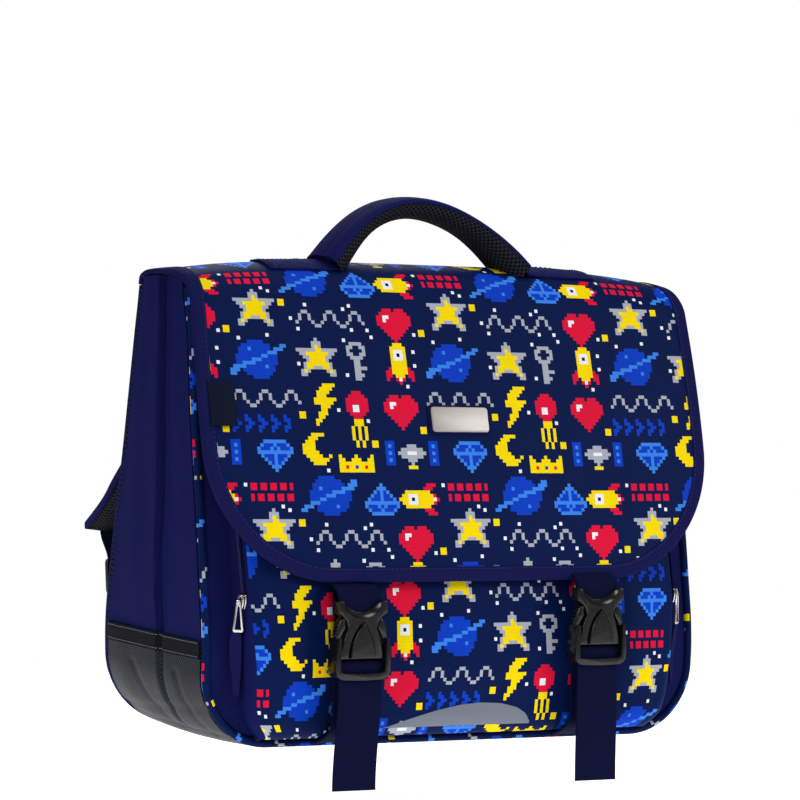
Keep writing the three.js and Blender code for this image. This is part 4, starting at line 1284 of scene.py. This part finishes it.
# The slider's two wings and bridge, its wire loop, and the folded tab that a child pulls
def zip_pull(sign, side):
    y = float(pocket_face_at(ZIP_SLIDER)) + ZIP_INSET
    wall = float(pocket_wall_at(ZIP_SLIDER, y))
    wing = [(-1.6, -5), (1.6, -5), (3.2, -1), (3.2, 4), (2, 5), (-2, 5), (-3.2, 4), (-3.2, -1)]
    parts = [cut_shape(wing, -low, -high, 0.35, 2) for low, high in ((0.4, 1.4), (2.3, 3.3))]
    for part in parts:
        stand_on_wall(part, sign, wall, y, ZIP_SLIDER)
    post = cut_shape(rounded_rectangle(2.2, 3.4, 0.8, 3), -1.2, -2.5, 0)
    stand_on_wall(post, sign, wall, y, ZIP_SLIDER + 2)
    parts.append(post)
    deselect()
    bpy.ops.mesh.primitive_torus_add(major_segments=20, minor_segments=8, major_radius=2.9, minor_radius=0.75)
    bridge = bpy.context.object
    ring = corners_of(bridge)
    move_corners(bridge, place(ring[:, [2, 1, 0]] * [1.1, 0.75, 1.25] + [0, -3.1, 0]))
    stand_on_wall(bridge, sign, wall, y, ZIP_SLIDER + 0.5)
    parts.append(bridge)
    finish_piece(joined(parts), f"zip_slider_{side}_body", nickel, "nickel_plate", f"zip_slider_{side}")
    top = ZIP_SLIDER + 1
    foot = top - 21
    wire = [(-1.6, 0), (1.6, 0), (3.6, -19.5), (2.8, -21), (-2.8, -21), (-3.6, -19.5)]
    loop = cut_shape(wire, -0.1, -1.5, 0)
    cut_away(loop, cut_shape([(-0.5, -2), (0.5, -2), (2.1, -19.2), (-2.1, -19.2)], 2, -4, 0))
    ease_edges(loop, 0.35, 2)
    stand_on_wall(loop, sign, wall + 4.2, y, top, -0.95)
    finish_piece(loop, f"zip_puller_{side}_loop", nickel, "nickel_plate", f"zip_puller_{side}")

    def tape(u, v):
        z = foot + 2.2 - TAB_LENGTH * v
        half = 2.4 + 1.6 * smooth_step(0, 0.2, v) - 1.9 * smooth_step(0.35, 1, v)
        slant = 1.6 * v + 1.2 * np.sin(3.4 * v)
        out = wall + 5.4 - 1.8 * smooth_step(0.1, 0.8, v) + (u - 0.5) * half * 1.6
        return np.stack([sign * out, y - (0.5 - u) * half * 1.2 + slant, z], -1)

    tab = bent_grid(6, 30, tape, (7, TAB_LENGTH), sign > 0)
    cloth_piece(tab, 1.3, f"zip_tab_{side}_tape", binding_tape, "binding_tape", f"zip_tab_{side}")


# The reflective crescent: columns are place across its half width and height as a share
CRESCENT = [(-1, 0.05), (-0.8, 0.26), (-0.5, 0.56), (-0.2, 0.8), (0.1, 0.96)]
CRESCENT += [(0.35, 1), (0.6, 0.93), (0.82, 0.72), (0.94, 0.45), (1, 0.1)]
REFLECTOR_WIDTH = 126
REFLECTOR_HEIGHT = 18
REFLECTOR_MIDDLE = -13


def centre_pocket_at(x, z):
    share = 0.5 + np.asarray(x) / (CENTRE_POCKET - 2 * POCKET_DRAFT)
    back = front_at(z) - GAP
    height = (z - POCKET_FOOT) / (POCKET_TOP - POCKET_FOOT)
    run = np.clip(z - POCKET_FOOT, 0, POCKET_ROUND) + POCKET_WALL - POCKET_ROUND
    rising = box_section(run, 190)[1] * from_table(POCKET_FULLNESS, share, 0.08)
    return back + (pocket_face_at(z) - back) * rising + pocket_dents(share, height)


def reflector():
    def surface(u, v):
        across = 2 * u - 1
        foot = POCKET_FOOT + 3 + 2 * across
        x = REFLECTOR_MIDDLE + across * REFLECTOR_WIDTH / 2
        z = foot + v * REFLECTOR_HEIGHT * from_table(CRESCENT, across, 0.03)
        return np.stack([x, centre_pocket_at(x, z) - 1.0, z], -1)

    piece = bent_grid(80, 12, surface, (REFLECTOR_WIDTH, REFLECTOR_HEIGHT))
    cloth_piece(piece, 0.6, "reflector_film", bead_film, "reflective_film", "reflector")


# Straps


# A band of webbing along a line of y and z, laid across x, with its face towards the front
def band(node_name, line, middle, width=WEBBING_WIDTH, sway=0.0):
    curve = smooth_curve(line, 30)
    length = run_of(curve)[-1]

    def surface(u, v):
        point, way = along_curve(curve, v * length)
        off = WEBBING_THICKNESS / 2 + 0.25 * np.sin(np.pi * u)
        x = middle + sway * smooth_step(0.55, 1, v) + (u - 0.5) * width
        return np.stack([x, point[:, 0] + way[:, 1] * off, point[:, 1] - way[:, 0] * off], -1)

    piece = bent_grid(12, max(8, int(length / 2)), surface, (width, length), True)
    cloth_piece(piece, WEBBING_THICKNESS, f"{node_name}_webbing", belt_webbing, "webbing", node_name)

BUCKLE_BACK = -27
BUCKLE_FRONT = -37
BUCKLE_BOTTOM = 47.5
BUCKLE_TOP = 99.5
BUCKLE_SLOT = BUCKLE_BACK - 3.4
BUCKLE_WIDTH = 37
BUCKLE_WAIST = 21.6
BUCKLE_MOUTH = 33
LOCK_WIDTH = 41
BAR_MIDDLE = (BUCKLE_BACK - 4.1, BUCKLE_BOTTOM + 9)
TAIL_END = -25
TAIL_REACH = 5
# Each strap a little differently: sideways place, lift of its buckle, and sway of its tail
STRAPS = {-1: (-93.5, 0.5, -4.5), 1: (92.5, 6.5, -1.5)}


def flap_strap(sign, side):
    middle, raised, _ = STRAPS[sign]
    line = []
    for z in (141, 133, 125, 113 + raised):
        point = on_flap_front(STRAP_PLACE, z, 0, 0, -5.7)
        line.append((point[1], point[2]))
    line += [(BUCKLE_SLOT + 3.5, 106 + raised), (BUCKLE_SLOT + 0.3, 101 + raised)]
    line += [(BUCKLE_SLOT, 91.5 + raised)]
    band(f"flap_strap_{side}", line, middle)


def closing_strap(sign, side):
    middle, raised, sway = STRAPS[sign]
    fold = 3.3
    leg = BAR_MIDDLE[0] + fold
    tail = BAR_MIDDLE[0] - fold
    bar = BAR_MIDDLE[1] + raised
    reach = -POCKET_REACH * 1.14
    line = [(-4.4, 3), (-13, 5.5), (reach - 0.8, 14), (reach - 2.4, 24), (reach - 2.2, 40)]
    line += [(leg, bar - 4)]
    for turn in np.linspace(0, math.pi, 7):
        line.append((BAR_MIDDLE[0] + fold * math.cos(turn), bar + fold * math.sin(turn)))
    line += [(tail, bar - 7), (tail - 1, BUCKLE_BOTTOM - 12)]
    line += [(tail - TAIL_REACH * 0.55, (BUCKLE_BOTTOM + TAIL_END) / 2), (tail - TAIL_REACH, TAIL_END)]
    band(f"closing_strap_{side}", line, middle, sway=sway)


def arc(start, bend, end, steps=6):
    share = np.linspace(0, 1, steps, endpoint=False)[:, None]
    start, bend, end = (np.array(point) for point in (start, bend, end))
    points = (1 - share) ** 2 * start + 2 * share * (1 - share) * bend + share**2 * end
    return [tuple(point) for point in points]


def mirrored(half):
    return half + [(-x, z) for x, z in reversed(half)]


# Moves a buckle's half to its strap and rounds its shading
def to_strap(piece, sign):
    middle, raised, _ = STRAPS[sign]
    shift(piece, middle, 0, raised)
    shade_smooth(piece, 35)


# The socket half: a waisted body with a scooped throat, and a pointed arch raised on its front
def buckle_socket(sign, side):
    foot = BUCKLE_BOTTOM + 13.5
    top = BUCKLE_WIDTH / 2
    waist = BUCKLE_WAIST / 2
    mouth = BUCKLE_MOUTH / 2
    half = arc((mouth, foot), (mouth - 1, BUCKLE_BOTTOM + 22), (waist, BUCKLE_BOTTOM + 34))
    half += arc((waist, BUCKLE_BOTTOM + 34), (waist + 0.5, BUCKLE_BOTTOM + 41), (top, BUCKLE_TOP - 8))
    half += [(top, BUCKLE_TOP - 8), (top, BUCKLE_TOP - 1), (top - 1, BUCKLE_TOP), (top - 3.4, BUCKLE_TOP)]
    half += arc((top - 4, BUCKLE_TOP - 0.5), (6, BUCKLE_TOP - 7.5), (1, BUCKLE_TOP - 8.2), 5)
    body = cut_shape(mirrored(half), BUCKLE_BACK, BUCKLE_FRONT + 0.5, 2.6, 5)
    arch_foot = foot + 0.6

    def arch(width, height):
        tip = (0.6, arch_foot + height)
        sides = arc((width, arch_foot), (width * 0.95, arch_foot + height * 0.62), tip, 8)
        return mirrored(sides + [tip])

    groove = cut_shape(arch(10.2, 24), BUCKLE_FRONT + 2.6, BUCKLE_FRONT - 2, 0)
    deselect()
    bpy.ops.mesh.primitive_uv_sphere_add(segments=32, ring_count=20, radius=1)
    scoop = bpy.context.object
    sphere = corners_of(scoop)
    move_corners(scoop, place(sphere * [15.4, 7.6, 12.6] + [0, BUCKLE_FRONT - 1.2, BUCKLE_TOP + 0.5]))
    slot = cut_shape(rounded_rectangle(33, 2.6, 1.2), 0, 12, 0)
    flat = lying_at(slot)
    move_corners(slot, place(np.stack([flat[:, 0], BUCKLE_SLOT + flat[:, 2], 91 + flat[:, 1]], -1)))
    face_outwards(slot)
    cut_away(body, groove, scoop, slot)
    dome = cut_shape(arch(9.0, 22.4), BUCKLE_FRONT + 5, BUCKLE_FRONT - 1.5, 4.2, 8)
    to_strap(body, sign)
    to_strap(dome, sign)
    finish_piece(body, f"buckle_socket_{side}", acetal, "acetal", f"buckle_female_{side}")
    finish_piece(dome, f"buckle_arch_{side}", acetal, "acetal")


# The plug half: a frame round the webbing with a round foot bar, and two ribbed side buttons
def buckle_plug(sign, side):
    outer = LOCK_WIDTH / 2
    mouth = BUCKLE_MOUTH / 2 + 0.6
    bottom = BUCKLE_BOTTOM
    outside = [(outer - 1.6, bottom + 27), (outer - 0.4, bottom + 18), (outer, bottom + 8)]
    outside += arc((outer, bottom + 7), (outer, bottom), (outer - 8, bottom), 6)
    outside += [(outer - 9, bottom), (0.5, bottom - 0.4)]
    inside = [(0.5, bottom + 3.8), (mouth - 3.5, bottom + 4.2)]
    inside += arc((mouth - 3.4, bottom + 4.3), (mouth, bottom + 4.4), (mouth, bottom + 8), 4)
    inside += [(mouth, bottom + 27)]
    outline = mirrored(outside) + [(-x, z) for x, z in reversed(inside)] + inside
    frame_piece = cut_shape(outline, BUCKLE_BACK, BUCKLE_FRONT - 2, 1.6, 4)
    throat = [(-mouth, bottom - 3), (mouth, bottom - 3), (mouth, bottom + 5.4), (-mouth, bottom + 5.4)]
    cut_away(frame_piece, cut_shape(throat, BUCKLE_BACK + 1, BUCKLE_FRONT + 1.4, 0))
    deselect()
    bpy.ops.mesh.primitive_cylinder_add(vertices=20, radius=1.5 * MM, depth=(LOCK_WIDTH - 6) * MM)
    bar = bpy.context.object
    rod = corners_of(bar) / MM
    move_corners(bar, place(np.stack([rod[:, 2], BAR_MIDDLE[0] + rod[:, 0], BAR_MIDDLE[1] + rod[:, 1]], -1)))
    face_outwards(bar)
    parts = [frame_piece, bar]
    # Columns: height of the side button's outline over the foot, and its half width there
    button = [(26, 19.1), (31, 18.6), (36, 17.6), (40.5, 15.6)]
    edge = [(mouth - 0.4, bottom + 26), *((x, bottom + z) for z, x in button)]
    edge += [(12.4, bottom + 40.5), (12, bottom + 34)]
    for hand in (-1, 1):
        arm = [(hand * x, z) for x, z in edge][::hand]
        parts.append(cut_shape(arm, BUCKLE_BACK - 1.6, BUCKLE_FRONT + 1.6, 1.2, 3))
        for rib in range(5):
            rise = 29 + 2.3 * rib
            ridge = rounded_rectangle(1.6, 1.1, 0.5, 3)
            ridge = cut_shape(ridge, BUCKLE_BACK - 2.6, BUCKLE_FRONT + 2.6, 0.3, 1)
            shift(ridge, hand * float(from_table(button, rise)), 0, bottom + rise)
            parts.append(ridge)
    joined(parts)
    to_strap(frame_piece, sign)
    finish_piece(frame_piece, f"buckle_plug_{side}", acetal, "acetal", f"buckle_male_{side}")


# The carry handle

GRIP_HEIGHT = BODY_HEIGHT + FLAP_RISE + 47 - HANDLE_THICKNESS / 2


# How far outside the arch's middle the cover meets the mesh
HANDLE_SEAM = 3


def handle_line(share):
    rise = np.sin(np.pi * share) ** 1.15
    foot = BODY_HEIGHT + FLAP_RISE - 2
    spread = 0.4 * np.cos(np.pi * share) + 0.6 * (1 - 2 * share)
    x = -HANDLE_SPAN / 2 * spread + HANDLE_SKEW * (0.7 + 0.3 * rise)
    return np.stack([x, HANDLE_PLACE + HANDLE_LEAN * rise**1.5, foot + (GRIP_HEIGHT - foot) * rise], -1)


# One half of the padded arch. The cover has a rolled fold along its crown
def handle(upper, name, material, slot, replaced):
    share = np.linspace(0, 1, 81)
    centre = handle_line(share)
    way = unit(handle_line(np.minimum(share + 0.01, 1)) - handle_line(np.maximum(share - 0.01, 0)))
    out = np.stack([-way[:, 2], 0 * share, way[:, 0]], -1)
    sign = 1 if upper else -1
    near_end = np.minimum(share, 1 - share)
    full = 1.25 - 0.25 * smooth_step(0.04, 0.3, near_end)
    spread = HANDLE_DEPTH / 2 * (1.1 - 0.1 * smooth_step(0, 0.25, near_end))
    rings = []
    for turn in np.linspace(0, math.pi, 25):
        deep = math.copysign(abs(math.cos(turn)) ** 0.85, math.cos(turn))
        up = abs(math.sin(turn)) ** 0.75
        if upper:
            up *= 1 - 0.14 * float(bump(deep, -0.35, 0.07)) - 0.1 * float(bump(deep, 0.5, 0.06))
        half = HANDLE_THICKNESS / 2 - sign * HANDLE_SEAM
        ring = centre + out * (HANDLE_SEAM + sign * (up * full[:, None] * half + GAP / 2))
        ring[:, 1] += deep * spread
        rings.append(ring)
    piece = skinned(np.stack(rings, 1))
    shade_smooth(piece, 60)
    finish_piece(piece, name, material, slot, replaced)


def handle_end(sign, side):
    inner = HANDLE_SPAN / 2 - 2
    along = flap_along_depth(HANDLE_PLACE)
    length = HANDLE_END + 13.5

    def surface(u, v):
        x = sign * (inner + u * length)
        reach = (HANDLE_DEPTH / 2 - 1 - 1.5 * u**4) * (2 * v - 1)
        swell = 1.1 + 1.2 * (1 - smooth_step(0, 0.3, u)) + 0.4 * np.sin(np.pi * v)
        return flap_at(x, along + reach, GAP + swell)

    piece = bent_grid(36, 24, surface, (length, HANDLE_DEPTH), sign > 0)
    cloth_piece(piece, 1.3, f"handle_end_{side}_cloth", navy_cloth, "navy_cloth", f"handle_end_{side}")
    # Sewn round a box and once across it: share of the length, and depth
    box = np.array([(0.3, -15), (0.94, -15), (0.94, 15), (0.3, 15), (0.3, -15), (0.94, 15)])
    steps = np.linspace(0, 1, 12, endpoint=False)[:, None]
    x, deep = np.vstack([start + (end - start) * steps for start, end in zip(box, box[1:])]).T
    sewn = flap_at(sign * (inner + x * length), along + deep, GAP + 1.25 + 0.4 * np.cos(deep / 12))
    stitches(f"handle_stitches_{side}", sewn, navy_thread, "navy_cloth")

# The shoulder straps


def pad_curve(sign):
    points = []
    for out, back, height in PAD_ROUTE:
        z = height * BODY_HEIGHT
        seat = float(back_at(z)) + PAD_THICKNESS / 2 + 3.3
        points.append((sign * out * BODY_WIDTH, max(seat, BASE_DEPTH + back * PAD_THICKNESS), z))
    return smooth_curve(points)


# A padded strap, full between its bound edges: the print outside, spacer mesh towards the back
def shoulder_pad(sign, side):
    curve = pad_curve(sign)
    length = run_of(curve)[-1]
    cells = int(length / PIXEL)
    centre, way = along_curve(curve, np.linspace(0, length, cells + 1))
    width = unit(np.cross(way, [0, 1, 0]))
    out = np.cross(width, way)
    out *= np.sign(out[:, 1])[:, None]
    # Where the strap lies on the bag it leans with the back
    held = smooth_step(0.5, 0.66, centre[:, 2] / BODY_HEIGHT)

    def leaning(points):
        moved = points.copy()
        moved[:, 1] += held * (back_at(points[:, 2]) - back_at(centre[:, 2]))
        return moved

    share = np.linspace(0, 1, cells + 1)
    narrow = (1 - 0.16 * smooth_step(0.75, 1, share)) * (1 - 0.2 * bump(share, 0, 0.05))
    thick = PAD_THICKNESS / 2 * (0.55 + 0.45 * smooth_step(0, 0.08, np.minimum(share, 1 - share)))
    across_cells = int(PAD_WIDTH / PIXEL)
    # Columns of the section go round: outside from one edge to the other, then back inside
    outside = np.linspace(-1, 1, across_cells + 1)
    section = []
    for index, across in enumerate([*outside, *outside[::-1][1:-1]]):
        is_outside = index <= across_cells
        full = (1 - abs(across) ** 3.2) ** 0.7 if abs(across) < 1 else 0
        channel = 1 - 0.3 * float(bump(across, 0, 0.1)) if not is_outside else 1
        height = (0.12 + 0.88 * full) * channel * (1 if is_outside else -1)
        side_step = width * (across * PAD_WIDTH / 2 * narrow)[:, None]
        section.append(leaning(centre + side_step + out * (height * thick)[:, None]))
    piece = skinned(np.stack(section, 1))
    places = print_cells(piece, (20, 30))
    girth = run_of(np.array([ring[0] for ring in section]))
    inner_side = (places[:, 0] > girth[across_cells]).astype(np.int32)
    shade_smooth(piece, 60)
    name = f"shoulder_pad_{side}"
    finish_piece(piece, f"{name}_cover", [printed_cloth, spacer_mesh], "printed_cloth", name)
    piece.data.polygons.foreach_set("material_index", inner_side)
    # The edge's binding, round both sides and the lower end
    edges = [leaning(centre + width * (hand * PAD_WIDTH / 2 * narrow)[:, None]) for hand in (-1, 1)]
    loop = np.vstack([edges[0], edges[1][::-1], edges[0][:1]])
    loop_way = np.gradient(loop, axis=0)
    loop_way /= np.maximum(np.linalg.norm(loop_way, axis=1), 1e-6)[:, None]
    face = np.vstack([out, out[::-1], out[:1]])
    aside = np.cross(loop_way, face)
    trim = tube(loop, aside * 2.6, face * 2.3, 10)
    shade_smooth(trim)
    finish_piece(trim, f"{name}_binding", binding_tape, "binding_tape")


def shoulder_web(sign, side):
    end = pad_curve(1)[-1]
    middle = sign * PAD_ROUTE[-1][0] * BODY_WIDTH
    adjuster = (end[1] - 1.5 * PAD_THICKNESS, BODY_HEIGHT * 0.32)
    line = [
        (end[1] - 0.4, end[2] - 1.2),
        (end[1] - 3, end[2] - 6),
        (adjuster[0] + 4, adjuster[1] + 13),
        (adjuster[0], adjuster[1] - 13),
        (BASE_DEPTH + PAD_THICKNESS, BODY_HEIGHT * 0.2),
        (BASE_DEPTH + 2.4, BODY_HEIGHT * 0.11),
        (float(back_at(BODY_HEIGHT * 0.06)) + 1.6, BODY_HEIGHT * 0.06),
    ]
    band(f"shoulder_web_{side}", line, middle, SHOULDER_WEB)


# Ladder lock on the shoulder webbing: a frame with two windows
def adjuster(side):
    low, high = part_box(f"adjuster_{side}")
    middle = (np.array(low) + np.array(high)) / 2
    ladder = cut_shape(rounded_rectangle(33, 26, 3.5), 0, -4, 0)
    for height in (-6.3, 6.3):
        window = cut_shape(rounded_rectangle(26.4, 6.4, 1), 3, -8, 0)
        shift(window, 0, 0, height)
        cut_away(ladder, window)
    ease_edges(ladder, 0.8, 3)
    x, y, z = (corners_of(ladder) - ORIGIN).T
    lean = math.atan2(4, 26)
    cos, sin = math.cos(lean), math.sin(lean)
    move_corners(ladder, middle + np.stack([x, y * cos + z * sin + 2 * MM, z * cos - y * sin], -1))
    shade_smooth(ladder, 35)
    finish_piece(ladder, f"adjuster_{side}_ladder", acetal, "acetal", f"adjuster_{side}")


front_panel()
back_panel()
base_boot()
piping()
flap_cloth()
flap_binding()
plate()
flap_tag()
INNER_EDGE = CENTRE_POCKET / 2 + POCKET_GAP
pocket("pocket_left", -INNER_EDGE, -(INNER_EDGE + SIDE_POCKET), (18, 30))
pocket("pocket_centre", -CENTRE_POCKET / 2, CENTRE_POCKET / 2, (44, 9))
pocket("pocket_right", INNER_EDGE, INNER_EDGE + SIDE_POCKET, (60, 44))
reflector()
handle(True, "handle_cover_cloth", navy_cloth, "navy_cloth", "handle_cover")
handle(False, "handle_mesh_cloth", spacer_mesh, "spacer_mesh", "handle_mesh")
for sign, side in SIDES:
    gusset(sign, side)
    zip_fastener(sign, side)
    zip_pull(sign, side)
    flap_strap(sign, side)
    closing_strap(sign, side)
    buckle_socket(sign, side)
    buckle_plug(sign, side)
    handle_end(sign, side)
    shoulder_pad(sign, side)
    shoulder_web(sign, side)
    adjuster(side)


# Camera, floor and light
AZIMUTH = math.radians(-30)
ELEVATION = math.radians(2)
ROLL = math.radians(2)
LENS = 170.9
CAMERA_DISTANCE = 2.571
AIMED_AT = np.array([-0.005, -0.074, -0.18985])
# Metres to the right and up in the picture
CAMERA_SHIFT = (-0.031816, 0.067693)


def camera():
    level = math.cos(ELEVATION)
    away = np.array([math.sin(AZIMUTH) * level, -math.cos(AZIMUTH) * level, math.sin(ELEVATION)])
    right = np.array([math.cos(AZIMUTH), math.sin(AZIMUTH), 0])
    up = np.cross(away, right)
    turned_right = right * math.cos(ROLL) + up * math.sin(ROLL)
    turned_up = up * math.cos(ROLL) - right * math.sin(ROLL)
    spot = AIMED_AT + CAMERA_SHIFT[0] * turned_right + CAMERA_SHIFT[1] * turned_up + CAMERA_DISTANCE * away
    data = bpy.data.cameras.new("camera")
    data.lens = LENS
    data.sensor_width = 36
    seen = bpy.data.objects.new("camera", data)
    bpy.context.collection.objects.link(seen)
    matrix = Matrix.Identity(4)
    for column, values in enumerate((turned_right, turned_up, away, spot)):
        for row in range(3):
            matrix[row][column] = values[row]
    seen.matrix_world = matrix
    bpy.context.scene.camera = seen


def floor():
    deselect()
    bpy.ops.mesh.primitive_plane_add(size=1.7)
    ground = bpy.context.object
    ground.name = "floor"
    ground.data.transform(Matrix.Translation((0, 0, cad_box[0][2] - 0.03)))
    paint, _, shader = new_material("matt_pale_floor", Roughness=0.9, Emission_Strength=0.8)
    shader.inputs["Emission Color"].default_value = ink("#ffffff")
    shader.inputs["Base Color"].default_value = ink("#f8f8f6")
    ground.data.materials.append(paint)


def lights():
    world = bpy.data.worlds.new("studio")
    world.use_nodes = True
    tree = world.node_tree
    tree.nodes["Background"].inputs["Color"].default_value = (1, 1, 1, 1)
    # The eye sees a white backdrop, and the bag a dim room, darkest in front, so that black stays black
    where = node(tree, "ShaderNodeTexCoord")
    split = node(tree, "ShaderNodeSeparateXYZ", None, {"Vector": where.outputs["Generated"]})
    dim = ranged(tree, split.outputs["Y"], 0.1, 0.25, -0.25, 0.3)
    ray = node(tree, "ShaderNodeLightPath").outputs["Is Camera Ray"]
    tree.links.new(combined(tree, "MAXIMUM", dim, ray), tree.nodes["Background"].inputs["Strength"])
    bpy.context.scene.world = world
    # Columns: place in metres, size in metres, power in watts
    softboxes = [
        ((-2.3, -1.5, 1.1), 1.0, 30),
        ((1.9, -1.9, 0.9), 0.9, 30),
        ((0.1, -0.3, 2.4), 1.3, 28),
        ((1.0, 2.4, 1.4), 1.2, 14),
    ]
    for spot, size, power in softboxes:
        data = bpy.data.lights.new("softbox", "AREA")
        data.size = size
        data.energy = power
        lamp = bpy.data.objects.new("softbox", data)
        bpy.context.collection.objects.link(lamp)
        lamp.location = spot
        aim = Vector((0, 0, -0.2)) - Vector(spot)
        lamp.rotation_euler = aim.to_track_quat("-Z", "Y").to_euler()
    bpy.context.scene.view_settings.view_transform = "Standard"


camera()
floor()
lights()
